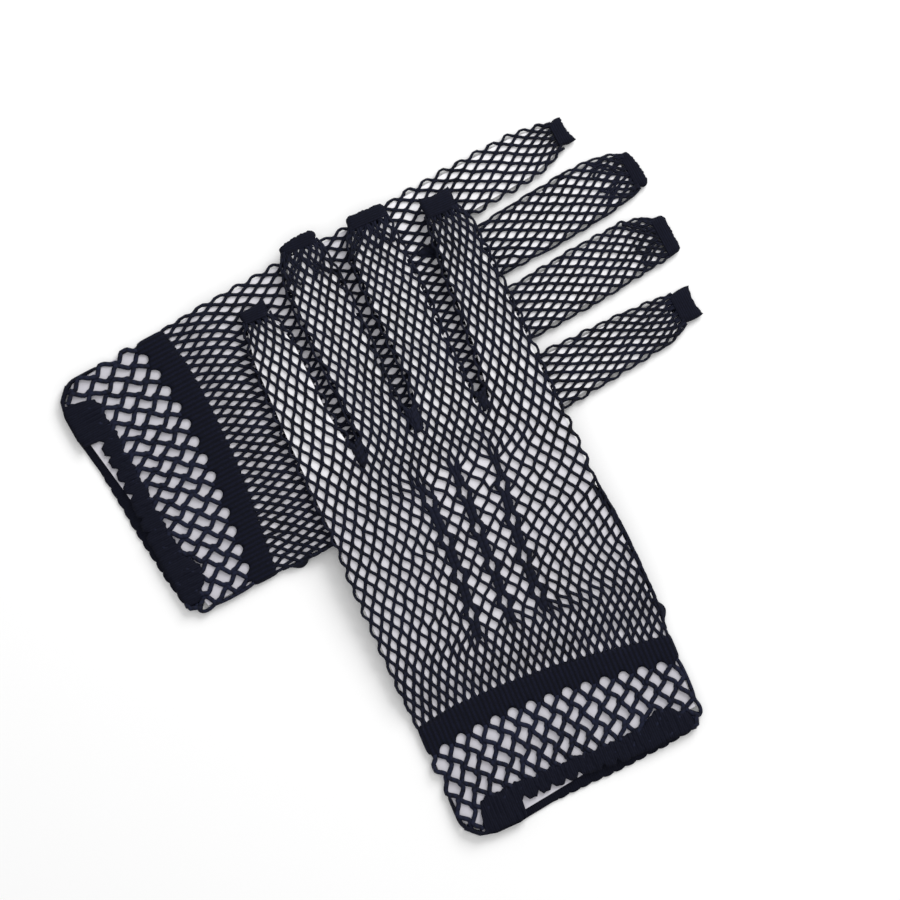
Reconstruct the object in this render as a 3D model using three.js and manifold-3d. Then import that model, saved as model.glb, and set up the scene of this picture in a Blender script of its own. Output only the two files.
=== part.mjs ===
// A pair of fishnet gloves laid crosswise on a table, each drawn over a thin flat packing card.
// The left glove lies back up across the right glove, which lies palm up.
// Units are millimetres, +Z is up, and the pair rests on the plane z = 0.
//
// Each glove is worked out in its own frame. u runs across it, from the little finger to the
// index finger, v runs along it, from the wrist to the fingertips, and z runs up. v = 0 is the
// lower edge of the wrist band at the middle of the hand.
import * as THREE from 'three';
import { mergeVertices } from 'three/addons/utils/BufferGeometryUtils.js';
import Module from 'manifold-3d';

const wasm = await Module();
wasm.setup();

// Knitted walls and the room between them
const WALL = 1.0;
const HOLLOW = 1.2;
const THICKNESS = 2 * WALL + HOLLOW;
const GAP = 0.3;
const SPARE = 3; // how far a cutting tool runs past what it cuts

// The flat card inside each glove
const CARD_THICKNESS = 0.5;
const CARD_INSET = 1.65; // from the outline of the glove
const CARD_STRAIGHT = { foot: -22, top: -14 }; // where its edges run straight at the wrist

// The folded thumb and the decorative points on the back of the hand
const THUMB_THICKNESS = 2.2;
const THUMB_WALL = 0.8;
const POINT_THICKNESS = 0.9;
const POINT_HALF_WIDTH = 1.3;
const EYE = { halfWidth: 1.0, halfLength: 2.4, bulge: 0.9, openHalfLength: 2.0, sides: 6 };

// The dense tip of a finger: a little narrower where it starts, widest at the shoulder, then
// rounded off at its corners and thinner at its end
const TIP = { narrower: 0.4, shoulder: 0.7, round: 1.3, endShare: 0.6 };
const TIP_THICKNESS = THICKNESS - 0.4;

// The coarse net of the cuff
// Rows of cells lie at shares of the way from the wrist band down to the hem.
const CELL = { pitch: 9.6, halfWidth: 3.4, heightShare: 0.19, sides: 4 };
const CELL_ROWS = [
  { share: 0.25, first: -45, count: 10 },
  { share: 0.5, first: -40.2, count: 9 },
  { share: 0.75, first: -45, count: 10 },
];

// The frilled hem
const HEM_THICKNESS = 3.6;
const FRILL = { step: 2.1, ripple: 0.35, frontPicot: 1.1, backPicot: 0.7 };

// How far apart the two gloves' origins lie, and how each is turned on the table
const LEFT_PLACE = { x: 60.7, y: -76, turn: 23 };
const RIGHT_PLACE = { x: -60.4, y: 4.8, turn: -62 };

// How high the underside of each glove lies. The cuffs lie on the table, and each palm lies on
// its own folded thumb. The left glove then climbs onto the right one.
const THUMB_ROOM = THUMB_THICKNESS + GAP;
const CROSSING = THUMB_ROOM + THICKNESS + GAP;
const CLIMB = [
  { v: 10, height: 0 },
  { v: 13, height: 0.2 * THUMB_ROOM },
  { v: 17, height: 0.8 * THUMB_ROOM },
  { v: 20, height: THUMB_ROOM },
];
const LEFT_HEIGHTS = [...CLIMB, { v: 64, height: CROSSING - 0.4 }, { v: 72, height: CROSSING }];
const RIGHT_HEIGHTS = [
  ...CLIMB,
  { v: 88, height: THUMB_ROOM },
  { v: 93, height: 0.85 * THUMB_ROOM },
  { v: 105, height: 0.15 * THUMB_ROOM },
  { v: 110, height: 0 },
];

// Outline of the palm, up to the roots of the fingers
const PALM = [
  { v: 10, left: -50.5, right: 46.7 },
  { v: 20, left: -50.9, right: 46.6 },
  { v: 36, left: -51.5, right: 46.2 },
  { v: 60, left: -52, right: 43.4 },
  { v: 75, left: -51.6, right: 43.8 },
  { v: 90, left: -52.2, right: 43 },
  { v: 106, left: -52.8, right: 42.2 },
];
const FINGER_ROOT = 92; // where the fingers' tubes start inside the palm

// Outlines of the fingers, the place where the card's prong ends in each, and the dense tip
// that closes it
const FINGERS = [
  {
    name: 'little',
    outline: [
      { v: FINGER_ROOT, left: -52.3, right: -31 },
      { v: 107, left: -52.8, right: -30.7 },
      { v: 122, left: -53.3, right: -33.6 },
      { v: 148, left: -53.4, right: -34.8 },
      { v: 157, left: -51.8, right: -37 },
      { v: 162, left: -50.2, right: -39.6 },
    ],
    cardTop: 160,
    tip: { left: -50.2, right: -40, length: 5.8, lean: 1.6 },
  },
  {
    name: 'ring',
    outline: [
      { v: FINGER_ROOT, left: -29.6, right: -9.2 },
      { v: 110, left: -29.3, right: -9 },
      { v: 122, left: -29.8, right: -10.2 },
      { v: 148, left: -31.6, right: -10.4 },
      { v: 168, left: -31.8, right: -12 },
      { v: 179.2, left: -28, right: -14.2 },
    ],
    cardTop: 177.5,
    tip: { left: -28, right: -14, length: 4.2, lean: 0.6 },
  },
  {
    name: 'middle',
    outline: [
      { v: FINGER_ROOT, left: -7.4, right: 16.2 },
      { v: 110, left: -7, right: 16 },
      { v: 122, left: -5.4, right: 14.8 },
      { v: 148, left: -7, right: 14.3 },
      { v: 170, left: -7, right: 12.6 },
      { v: 178, left: -2.8, right: 11.8 },
    ],
    cardTop: 176,
    tip: { left: -2.6, right: 11.6, length: 4.4, lean: 0 },
  },
  {
    name: 'index',
    outline: [
      { v: FINGER_ROOT, left: 18.4, right: 42.8 },
      { v: 106, left: 18.2, right: 42.2 },
      { v: 122, left: 20.2, right: 41.9 },
      { v: 148, left: 21.1, right: 40.4 },
      { v: 164, left: 22.4, right: 39 },
      { v: 171.2, left: 23.6, right: 36 },
    ],
    cardTop: 169,
    tip: { left: 23.6, right: 35.4, length: 7.2, lean: 0 },
  },
];

// The thumb is folded under the palm, with its outer fold just past the edge of the hand
const THUMB = {
  outline: [
    { v: 20, left: 22.6, right: 46.2 },
    { v: 40, left: 23.6, right: 45.8 },
    { v: 55, left: 23.6, right: 44.2 },
    { v: 64, left: 23, right: 42.2 },
    { v: 76, left: 22, right: 38.6 },
    { v: 82, left: 23, right: 36.2 },
  ],
  tip: { left: 23.2, right: 35.6, length: 5, lean: 0 },
};

// Upper and lower edges of the ribbed wrist band, at places across the glove
const WRIST = { left: -50, right: 46 };
const BAND_EDGES = [
  { u: -50, top: 6.5, foot: -4 },
  { u: -36, top: 8.8, foot: -1.3 },
  { u: -18, top: 9.3, foot: -0.1 },
  { u: 4, top: 8.2, foot: -1 },
  { u: 26, top: 5.2, foot: -3.8 },
  { u: 48, top: 2, foot: -7.4 },
];

// Edges of the hem. The back of the hem reaches past the front, which leaves the mouth in view.
const CUFF_SIDES = { left: -50, right: 46 };
const HEM_SIDES = { left: -49.4, right: 45 };
const HEM_TOP = [
  { u: -50, v: -29 },
  { u: -38, v: -24.8 },
  { u: 18, v: -24.3 },
  { u: 29, v: -21.2 },
  { u: 36, v: -21.2 },
  { u: 42, v: -25 },
  { u: 46, v: -26.4 },
];
const FRONT_FOOT = [
  { u: -50, v: -32 },
  { u: -44, v: -35.6 },
  { u: -36, v: -37.8 },
  { u: -27, v: -37.6 },
  { u: -25, v: -32 },
  { u: 0, v: -31.4 },
  { u: 12, v: -33 },
  { u: 30, v: -31.8 },
  { u: 46, v: -29.6 },
];
const BACK_FOOT = [
  { u: -50, v: -32 },
  { u: -44, v: -37 },
  { u: -37, v: -38.8 },
  { u: -27, v: -38.8 },
  { u: -10, v: -36 },
  { u: 10, v: -35.2 },
  { u: 30, v: -33.2 },
  { u: 46, v: -29.6 },
];
const BACK_PLAIN_UNTIL = -13; // the back's edge has picots only past this place
const CARD_FOOT = { left: -36, right: 38, atMiddle: -31.4, slope: 0.146 };

// The three points on the back of the hand, each a double line of stitches with four open eyes
const POINTS = [
  {
    name: 'point_ring',
    top: { u: -15, v: 85 },
    eyes: [{ u: -14, v: 79 }, { u: -14, v: 64 }, { u: -14.5, v: 50.5 }, { u: -16, v: 36.5 }],
    foot: { u: -17, v: 27 },
  },
  {
    name: 'point_middle',
    top: { u: -1.5, v: 85 },
    eyes: [{ u: -1.5, v: 77 }, { u: -2.2, v: 63.5 }, { u: -2.5, v: 49.5 }, { u: -3.5, v: 36 }],
    foot: { u: -4, v: 28 },
  },
  {
    name: 'point_index',
    top: { u: 13, v: 79 },
    eyes: [{ u: 12, v: 74.5 }, { u: 10.5, v: 61.5 }, { u: 9, v: 48 }, { u: 8.5, v: 34.5 }],
    foot: { u: 8.5, v: 27 },
  },
];

// Places across the glove where the walls round the wrist bend
const innerPlaces = (rows) => rows.slice(1, -1).map((row) => row.u);
const BAND_PLACES = innerPlaces(BAND_EDGES);
const CUFF_PLACES = [...new Set([...BAND_PLACES, ...innerPlaces(HEM_TOP)])].sort((a, b) => a - b);

const yarn = new THREE.MeshStandardMaterial({ color: '#171a29', roughness: 0.85, metalness: 0 });
const rib = new THREE.MeshStandardMaterial({ color: '#121524', roughness: 0.9, metalness: 0 });
const board = new THREE.MeshStandardMaterial({ color: '#d3cbd4', roughness: 0.6, metalness: 0 });

// Reads a table by straight lines between its rows.
function readTable(rows, by, column, place) {
  const after = rows.findIndex((row) => row[by] >= place);
  if (after === 0) return rows[0][column];
  if (after < 0) return rows[rows.length - 1][column];
  const [from, to] = [rows[after - 1], rows[after]];
  const share = (place - from[by]) / (to[by] - from[by]);
  return from[column] + share * (to[column] - from[column]);
}

const heightAt = (heights, v) => readTable(heights, 'v', 'height', v);

// The places along the glove where a piece needs a section: its own and those of the heights.
function sectionPlaces(outline, heights) {
  const first = outline[0].v;
  const last = outline[outline.length - 1].v;
  const bends = heights.map((row) => row.v).filter((v) => v > first && v < last);
  return [...new Set([...outline.map((row) => row.v), ...bends])].sort((a, b) => a - b);
}

// Makes a closed mesh, with its faces turned outwards.
function closedMesh(points, triangles) {
  let volume = 0;
  const normal = new THREE.Vector3();
  for (const [a, b, c] of triangles) {
    volume += points[a].dot(normal.crossVectors(points[b], points[c]));
  }
  const outward = volume > 0 ? triangles : triangles.map(([a, b, c]) => [a, c, b]);
  const geometry = new THREE.BufferGeometry().setFromPoints(points);
  geometry.setIndex(outward.flat());
  return geometry;
}

function toSolid(geometry) {
  const plain = geometry.clone();
  plain.deleteAttribute('normal');
  plain.deleteAttribute('uv');
  const merged = mergeVertices(plain, 1e-4);
  return new wasm.Manifold(new wasm.Mesh({
    numProp: 3,
    vertProperties: new Float32Array(merged.attributes.position.array),
    triVerts: new Uint32Array(merged.index.array),
  }));
}

function toGeometry(solid) {
  const mesh = solid.getMesh();
  const geometry = new THREE.BufferGeometry();
  geometry.setAttribute('position', new THREE.BufferAttribute(mesh.vertProperties, 3));
  geometry.setIndex(new THREE.BufferAttribute(mesh.triVerts, 1));
  return geometry;
}

const joined = (solids) => solids.reduce((whole, solid) => whole.add(solid));

// One section of a flat tube: half-round folds at both sides, and flats that bend at the inner
// places. Each station has a place across and the half height of the tube there.
function flatTubeStations(left, right, thickness, inner = []) {
  const radius = thickness / 2;
  const quarter = Math.SQRT1_2;
  const fold = [
    { in: 0, half: 0 },
    { in: radius * (1 - quarter), half: radius * quarter },
    { in: radius, half: radius },
  ];
  return [
    ...fold.map((part) => ({ u: left + part.in, half: part.half })),
    ...inner.map((u) => ({ u, half: radius })),
    ...fold.map((part) => ({ u: right - part.in, half: part.half })).reverse(),
  ];
}

// Joins sections of equal numbers of stations into a closed solid. Each section is a list of
// pairs of points, the lower and the upper one at each station.
function loft(sections) {
  const across = sections[0].length;
  const around = 2 * across - 2;
  const points = sections.flatMap((section) => [
    ...section.map((pair) => pair.lower),
    ...section.slice(1, -1).reverse().map((pair) => pair.upper),
  ]);
  const triangles = [];
  for (let row = 0; row + 1 < sections.length; row += 1) {
    for (let step = 0; step < around; step += 1) {
      const next = (step + 1) % around;
      const [a, b] = [row * around + step, row * around + next];
      triangles.push([a, b, b + around], [a, b + around, a + around]);
    }
  }
  const upper = (station) => (station === across - 1 ? station : (around - station) % around);
  for (const [start, flip] of [[0, true], [(sections.length - 1) * around, false]]) {
    for (let station = 0; station + 1 < across; station += 1) {
      const quad = [station, station + 1, upper(station + 1), upper(station)];
      for (const corners of [[0, 1, 2], [0, 2, 3]]) {
        const triangle = corners.map((corner) => start + quad[corner]);
        if (new Set(triangle).size < 3) continue;
        triangles.push(flip ? triangle.reverse() : triangle);
      }
    }
  }
  return closedMesh(points, triangles);
}

// A flat tube along the glove, whose outline is a table. `middle` is the height of its middle
// plane over the underside of the glove, and `foot` may give the tube's start across the glove.
function flatTube({ outline, heights, thickness, middle, inset = 0, inner = [], foot = null }) {
  const places = sectionPlaces(outline, heights);
  const sections = places.map((place, index) => {
    const left = readTable(outline, 'v', 'left', place) + inset;
    const right = readTable(outline, 'v', 'right', place) - inset;
    return flatTubeStations(left, right, thickness, inner).map(({ u, half }) => {
      const v = foot && index === 0 ? foot(u) : place;
      const z = heightAt(heights, v) + middle;
      return { lower: new THREE.Vector3(u, v, z - half), upper: new THREE.Vector3(u, v, z + half) };
    });
  });
  return loft(sections);
}

// A flat strip with square edges, for the card and the points.
function flatStrip({ outline, heights, thickness, middle, foot = null }) {
  const places = sectionPlaces(outline, heights);
  const sections = places.map((place, index) => {
    const left = readTable(outline, 'v', 'left', place);
    const right = readTable(outline, 'v', 'right', place);
    return [left, right].map((u) => {
      const v = foot && index === 0 ? foot(u) : place;
      const z = heightAt(heights, v) + middle;
      return {
        lower: new THREE.Vector3(u, v, z - thickness / 2),
        upper: new THREE.Vector3(u, v, z + thickness / 2),
      };
    });
  });
  return squareLoft(sections);
}

// Joins sections that are rectangles, so that their sides are faces too.
function squareLoft(sections) {
  const across = sections[0].length;
  const around = 2 * across;
  const points = sections.flatMap((section) => [
    ...section.map((pair) => pair.lower),
    ...section.map((pair) => pair.upper).reverse(),
  ]);
  const triangles = [];
  for (let row = 0; row + 1 < sections.length; row += 1) {
    for (let step = 0; step < around; step += 1) {
      const next = (step + 1) % around;
      const [a, b] = [row * around + step, row * around + next];
      triangles.push([a, b, b + around], [a, b + around, a + around]);
    }
  }
  for (const [start, flip] of [[0, true], [(sections.length - 1) * around, false]]) {
    for (let station = 0; station + 1 < across; station += 1) {
      const quad = [station, station + 1, around - 2 - station, around - 1 - station];
      for (const corners of [[0, 1, 2], [0, 2, 3]]) {
        const triangle = corners.map((corner) => start + quad[corner]);
        triangles.push(flip ? triangle.reverse() : triangle);
      }
    }
  }
  return closedMesh(points, triangles);
}

// Places round a flattened loop, from the left fold over the front to the right and back
// underneath. Each has an outer and an inner point, and says whether it lies on the front.
function loopPlaces({ left, right, thickness, inner }) {
  const outside = flatTubeStations(left, right, thickness, inner);
  const inside = flatTubeStations(left + WALL, right - WALL, thickness - 2 * WALL, inner);
  const middle = thickness / 2;
  const place = (station, front) => ({
    u: outside[station].u,
    z: middle + (front ? 1 : -1) * outside[station].half,
    uIn: inside[station].u,
    zIn: middle + (front ? 1 : -1) * inside[station].half,
    front,
  });
  const last = outside.length - 1;
  const places = [];
  for (let station = 0; station <= last; station += 1) places.push(place(station, true));
  for (let station = last - 1; station > 0; station -= 1) places.push(place(station, false));
  return places;
}

// A ring of cloth round a flattened loop. `top` and `foot` give its edges at each place.
function clothRing(places, top, foot) {
  const points = places.flatMap((place, index) => {
    const [vTop, vFoot] = [top(place, index), foot(place, index)];
    return [
      new THREE.Vector3(place.u, vTop, place.z),
      new THREE.Vector3(place.u, vFoot, place.z),
      new THREE.Vector3(place.uIn, vFoot, place.zIn),
      new THREE.Vector3(place.uIn, vTop, place.zIn),
    ];
  });
  const corners = 4;
  const triangles = [];
  for (let index = 0; index < places.length; index += 1) {
    const here = corners * index;
    const there = corners * ((index + 1) % places.length);
    for (let corner = 0; corner < corners; corner += 1) {
      const next = (corner + 1) % corners;
      triangles.push([here + corner, here + next, there + next]);
      triangles.push([here + corner, there + next, there + corner]);
    }
  }
  return closedMesh(points, triangles);
}

// A prism that cuts right through the glove, with its outline given as corners.
function cutter(corners) {
  const outline = new THREE.Shape(corners.map(({ u, v }) => new THREE.Vector2(u, v)));
  const depth = CROSSING + 2 * THICKNESS + 2 * SPARE;
  const prism = new THREE.ExtrudeGeometry(outline, { depth, bevelEnabled: false });
  return toSolid(prism.translate(0, 0, -SPARE));
}

// A many-sided opening round a centre, with a corner at its top and at its foot.
function cellCorners(centre, halfWidth, halfHeight, sides) {
  return Array.from({ length: sides }, (_, side) => {
    const angle = (side / sides) * 2 * Math.PI + Math.PI / 2;
    return {
      u: centre.u + halfWidth * Math.cos(angle),
      v: centre.v + halfHeight * Math.sin(angle),
    };
  });
}

// The palm and four fingers: one knitted wall, open at the wrist and where the tips close it.
function handNet(heights) {
  const middle = THICKNESS / 2;
  const wristEdge = (u) => readTable(BAND_EDGES, 'u', 'top', u) + GAP;
  const wristLine = [{ ...PALM[0], v: 0 }, ...PALM];
  const palm = { outline: wristLine, heights, middle, inner: BAND_PLACES, foot: wristEdge };
  const innerPalm = wristLine.map((row, index) => ({
    ...row,
    v: index === wristLine.length - 1 ? row.v - WALL : row.v,
  }));
  const openEnd = (outline) => {
    const end = outline[outline.length - 1];
    return [...outline, { ...end, v: end.v + SPARE }];
  };
  const outside = [flatTube({ ...palm, thickness: THICKNESS })];
  const inside = [flatTube({
    ...palm,
    outline: innerPalm,
    thickness: HOLLOW,
    inset: WALL,
    foot: (u) => wristEdge(u) - SPARE,
  })];
  for (const { outline } of FINGERS) {
    const finger = { heights, middle };
    outside.push(flatTube({ ...finger, outline, thickness: THICKNESS }));
    inside.push(flatTube({
      ...finger,
      outline: openEnd(outline),
      thickness: HOLLOW,
      inset: WALL,
    }));
  }
  const wall = joined(outside.map(toSolid)).subtract(joined(inside.map(toSolid)));
  return toGeometry(wall);
}

// The folded thumb: a flat tube under the palm, open at its root and where its tip closes it.
function thumbNet(heights) {
  const middle = -GAP - THUMB_THICKNESS / 2;
  const start = THUMB.outline[0];
  const end = THUMB.outline[THUMB.outline.length - 1];
  const longer = [
    { ...start, v: start.v - SPARE },
    ...THUMB.outline,
    { ...end, v: end.v + SPARE },
  ];
  const outside = flatTube({
    outline: THUMB.outline, heights, thickness: THUMB_THICKNESS, middle,
  });
  const inside = flatTube({
    outline: longer,
    heights,
    thickness: THUMB_THICKNESS - 2 * THUMB_WALL,
    middle,
    inset: THUMB_WALL,
  });
  return toGeometry(toSolid(outside).subtract(toSolid(inside)));
}

// The dense knitted end of a finger.
function fingerTip({ outline, tip }, heights, thickness, middle) {
  const start = outline[outline.length - 1].v + GAP;
  const rows = [
    { share: 0, narrower: TIP.narrower, depth: thickness },
    { share: TIP.shoulder, narrower: 0, depth: thickness },
    { share: 1, narrower: TIP.round, depth: TIP.endShare * thickness },
  ];
  const sections = rows.map(({ share, narrower, depth }) => {
    const left = tip.left + narrower;
    const right = tip.right - narrower;
    return flatTubeStations(left, right, depth).map(({ u, half }) => {
      const acrossShare = (u - left) / (right - left);
      const v = start + share * (tip.length - tip.lean * (1 - acrossShare));
      const z = heightAt(heights, v) + middle;
      return { lower: new THREE.Vector3(u, v, z - half), upper: new THREE.Vector3(u, v, z + half) };
    });
  });
  return loft(sections);
}

// The ribbed band round the wrist.
function wristBand() {
  return clothRing(
    loopPlaces({ ...WRIST, thickness: THICKNESS, inner: BAND_PLACES }),
    ({ u }) => readTable(BAND_EDGES, 'u', 'top', u),
    ({ u }) => readTable(BAND_EDGES, 'u', 'foot', u),
  );
}

// The coarse net between the wrist band and the hem, with its cells cut through both layers.
function cuffNet() {
  const ring = clothRing(
    loopPlaces({ ...CUFF_SIDES, thickness: THICKNESS, inner: CUFF_PLACES }),
    ({ u }) => readTable(BAND_EDGES, 'u', 'foot', u) - GAP,
    ({ u }) => readTable(HEM_TOP, 'u', 'v', u) + GAP,
  );
  let net = toSolid(ring);
  for (const row of CELL_ROWS) {
    for (let column = 0; column < row.count; column += 1) {
      const u = row.first + column * CELL.pitch;
      const from = readTable(BAND_EDGES, 'u', 'foot', u);
      const height = from - readTable(HEM_TOP, 'u', 'v', u);
      const centre = { u, v: from - row.share * height };
      const corners = cellCorners(centre, CELL.halfWidth, CELL.heightShare * height, CELL.sides);
      net = net.subtract(cutter(corners));
    }
  }
  return toGeometry(net);
}

// The frilled hem: a rippled ring whose lower edge ends in picots.
function hem() {
  const from = HEM_SIDES.left + HEM_THICKNESS / 2;
  const across = HEM_SIDES.right - HEM_SIDES.left - HEM_THICKNESS;
  const steps = 2 * Math.round(across / FRILL.step / 2);
  const inner = Array.from({ length: steps - 1 }, (_, i) => from + ((i + 1) / steps) * across);
  const places = loopPlaces({ ...HEM_SIDES, thickness: HEM_THICKNESS, inner });
  const odd = (index) => index % 2 === 1;
  const rippled = places.map((place, index) => {
    const ripple = place.front && odd(index) ? -FRILL.ripple : 0;
    return { ...place, z: place.z + ripple };
  });
  const foot = (place, index) => {
    const edge = readTable(place.front ? FRONT_FOOT : BACK_FOOT, 'u', 'v', place.u);
    if (!odd(index)) return edge;
    if (place.front) return edge + FRILL.frontPicot;
    return place.u > BACK_PLAIN_UNTIL ? edge + FRILL.backPicot : edge;
  };
  return clothRing(rippled, ({ u }) => readTable(HEM_TOP, 'u', 'v', u), foot);
}

// One decorative point: a strip with four eyes, lying on the back of the hand.
function decorativePoint(point, heights, middle) {
  const eyeRows = point.eyes.flatMap((eye) => [
    { ...eye, v: eye.v + EYE.halfLength, half: POINT_HALF_WIDTH },
    { ...eye, half: POINT_HALF_WIDTH + EYE.bulge },
    { ...eye, v: eye.v - EYE.halfLength, half: POINT_HALF_WIDTH },
  ]);
  const rows = [
    { ...point.top, half: POINT_HALF_WIDTH / 2 },
    ...eyeRows,
    { ...point.foot, half: POINT_HALF_WIDTH / 2 },
  ];
  const outline = rows.reverse().map(({ u, v, half }) => ({ v, left: u - half, right: u + half }));
  let strip = toSolid(flatStrip({ outline, heights, thickness: POINT_THICKNESS, middle }));
  for (const eye of point.eyes) {
    const corners = cellCorners(eye, EYE.halfWidth, EYE.openHalfLength, EYE.sides);
    strip = strip.subtract(cutter(corners));
  }
  return toGeometry(strip);
}

// The card: a flat blank with a prong in each finger, cut straight and askew at the mouth.
function packingCard(heights) {
  const middle = THICKNESS / 2;
  const inset = ({ v, left, right }) => ({
    v,
    left: left + CARD_INSET,
    right: right - CARD_INSET,
  });
  const foot = (u) => CARD_FOOT.atMiddle + CARD_FOOT.slope * u;
  const palmEnd = PALM[PALM.length - 1];
  const wrist = { left: WRIST.left + CARD_INSET, right: WRIST.right - CARD_INSET };
  const blank = [
    { v: CARD_FOOT.atMiddle, left: CARD_FOOT.left, right: CARD_FOOT.right },
    { v: CARD_STRAIGHT.foot, ...wrist },
    { v: CARD_STRAIGHT.top, ...wrist },
    ...PALM.slice(0, -1).map(inset),
    { ...inset(palmEnd), v: palmEnd.v - CARD_INSET },
  ];
  const card = { heights, thickness: CARD_THICKNESS, middle };
  const solids = [toSolid(flatStrip({ ...card, outline: blank, foot }))];
  for (const { outline, cardTop } of FINGERS) {
    const end = {
      v: cardTop,
      left: readTable(outline, 'v', 'left', cardTop),
      right: readTable(outline, 'v', 'right', cardTop),
    };
    const prong = [...outline.filter((row) => row.v < cardTop), end].map(inset);
    solids.push(toSolid(flatStrip({ ...card, outline: prong })));
  }
  return toGeometry(joined(solids));
}

// One whole glove, as named pieces in a group of its own.
function glove({ side, place, heights, pointsUp }) {
  const group = new THREE.Group();
  const addPiece = (name, geometry, material) => {
    const mesh = new THREE.Mesh(geometry, material);
    mesh.name = `${side}_${name}`;
    group.add(mesh);
  };
  addPiece('hand_net', handNet(heights), yarn);
  addPiece('thumb_net', thumbNet(heights), yarn);
  for (const finger of FINGERS) {
    const tip = fingerTip(finger, heights, TIP_THICKNESS, THICKNESS / 2);
    addPiece(`${finger.name}_tip`, tip, rib);
  }
  const thumbTip = fingerTip(THUMB, heights, THUMB_THICKNESS, -GAP - THUMB_THICKNESS / 2);
  addPiece('thumb_tip', thumbTip, rib);
  addPiece('wrist_band', wristBand(), rib);
  addPiece('cuff_net', cuffNet(), yarn);
  addPiece('hem', hem(), rib);
  const offset = GAP + POINT_THICKNESS / 2;
  const pointMiddle = pointsUp ? THICKNESS + offset : -offset;
  for (const point of POINTS) {
    addPiece(point.name, decorativePoint(point, heights, pointMiddle), yarn);
  }
  addPiece('card', packingCard(heights), board);
  group.position.set(place.x, place.y, 0);
  group.rotation.z = THREE.MathUtils.degToRad(place.turn);
  return group;
}

const pair = new THREE.Group();
pair.add(glove({ side: 'left', place: LEFT_PLACE, heights: LEFT_HEIGHTS, pointsUp: true }));
pair.add(glove({ side: 'right', place: RIGHT_PLACE, heights: RIGHT_HEIGHTS, pointsUp: false }));

// The origin is on the table, under the middle of the pair.
const middle = new THREE.Box3().setFromObject(pair, true).getCenter(new THREE.Vector3());
pair.position.set(-middle.x, -middle.y, 0);
pair.updateMatrixWorld(true);

export default pair;
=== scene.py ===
"""Dresses a packed pair of fishnet gloves: nets laid thread by thread, ribbed bands and frills.

Lengths inside a glove are in millimetres, in the glove's own frame: u runs across it, from the
little finger to the index finger, v along it, from the wrist to the fingertips, and z up from
its underside. A glove's lie turns such points into the row frame, in metres.
"""

import logging
import math
from dataclasses import dataclass
from enum import Enum

import bmesh
import bpy
import numpy as np
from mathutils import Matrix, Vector


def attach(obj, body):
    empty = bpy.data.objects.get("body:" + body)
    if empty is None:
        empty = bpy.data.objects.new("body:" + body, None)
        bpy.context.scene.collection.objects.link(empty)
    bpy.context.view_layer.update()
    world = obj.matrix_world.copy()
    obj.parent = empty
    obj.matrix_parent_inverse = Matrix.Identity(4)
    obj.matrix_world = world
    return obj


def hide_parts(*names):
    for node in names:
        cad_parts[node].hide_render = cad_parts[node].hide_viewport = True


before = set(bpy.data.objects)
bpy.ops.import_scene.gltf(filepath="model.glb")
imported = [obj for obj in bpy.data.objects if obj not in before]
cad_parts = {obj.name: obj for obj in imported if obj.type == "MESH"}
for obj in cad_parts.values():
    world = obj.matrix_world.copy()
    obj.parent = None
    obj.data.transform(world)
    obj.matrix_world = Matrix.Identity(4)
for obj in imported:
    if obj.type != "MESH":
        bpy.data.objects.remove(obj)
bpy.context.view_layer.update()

log = logging.getLogger("gloves")

MM = 0.001
Array = np.ndarray


class Face(Enum):
    """The two layers of a glove that lies flat: the one that faces up and the one below."""

    UPPER = 1.0
    LOWER = -1.0


class Slot(Enum):
    """The record's material slots."""

    NET = "net_yarn"
    RIB = "rib_knit"
    CARD = "card"


@dataclass(frozen=True)
class Table:
    """A short table with named columns, read by straight lines between its rows."""

    columns: tuple[str, ...]
    rows: tuple[tuple[float, ...], ...]

    def read(self, column: str, place: Array) -> Array:
        """Reads a column at places along the first one.

        Args:
            column: The name of the column to read.
            place: Places along the first column.

        Returns:
            The column's value at each place.
        """
        index = self.columns.index(column)
        return np.interp(place, [row[0] for row in self.rows], [row[index] for row in self.rows])


def ease(place: Array, start: float, end: float) -> Array:
    """Goes smoothly from 0 at the start to 1 at the end.

    Args:
        place: Places to read it at.
        start: Where it leaves 0.
        end: Where it reaches 1.

    Returns:
        A share from 0 to 1 for each place.
    """
    share = np.clip((np.asarray(place, float) - start) / (end - start), 0, 1)
    return share * share * (3 - 2 * share)


# The layers of a glove, as in the solids
WALL = 1.0
THICKNESS = 3.2
GAP = 0.3
THUMB_THICKNESS = 2.2
THUMB_MIDDLE = -GAP - THUMB_THICKNESS / 2
THUMB_ROOM = THUMB_THICKNESS + GAP
CROSSING = THUMB_ROOM + THICKNESS + GAP

PALM = Table(
    ("v", "left", "right"),
    (
        (2, -49.8, 45.6),
        (6, -49.9, 45.9),
        (10, -50.4, 46.7),
        (20, -50.9, 46.6),
        (35, -51.5, 46.2),
        (50, -51.9, 45.2),
        (62, -52, 43.4),
        (75, -51.6, 43.8),
        (90, -52.2, 43),
        (106, -52.8, 42.2),
    ),
)
BAND_EDGES = Table(
    ("u", "top", "foot"),
    (
        (-50, 6.5, -4),
        (-36, 8.8, -1.3),
        (-18, 9.3, -0.1),
        (4, 8.2, -1),
        (26, 5.2, -3.8),
        (48, 2, -7.4),
    ),
)


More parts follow.
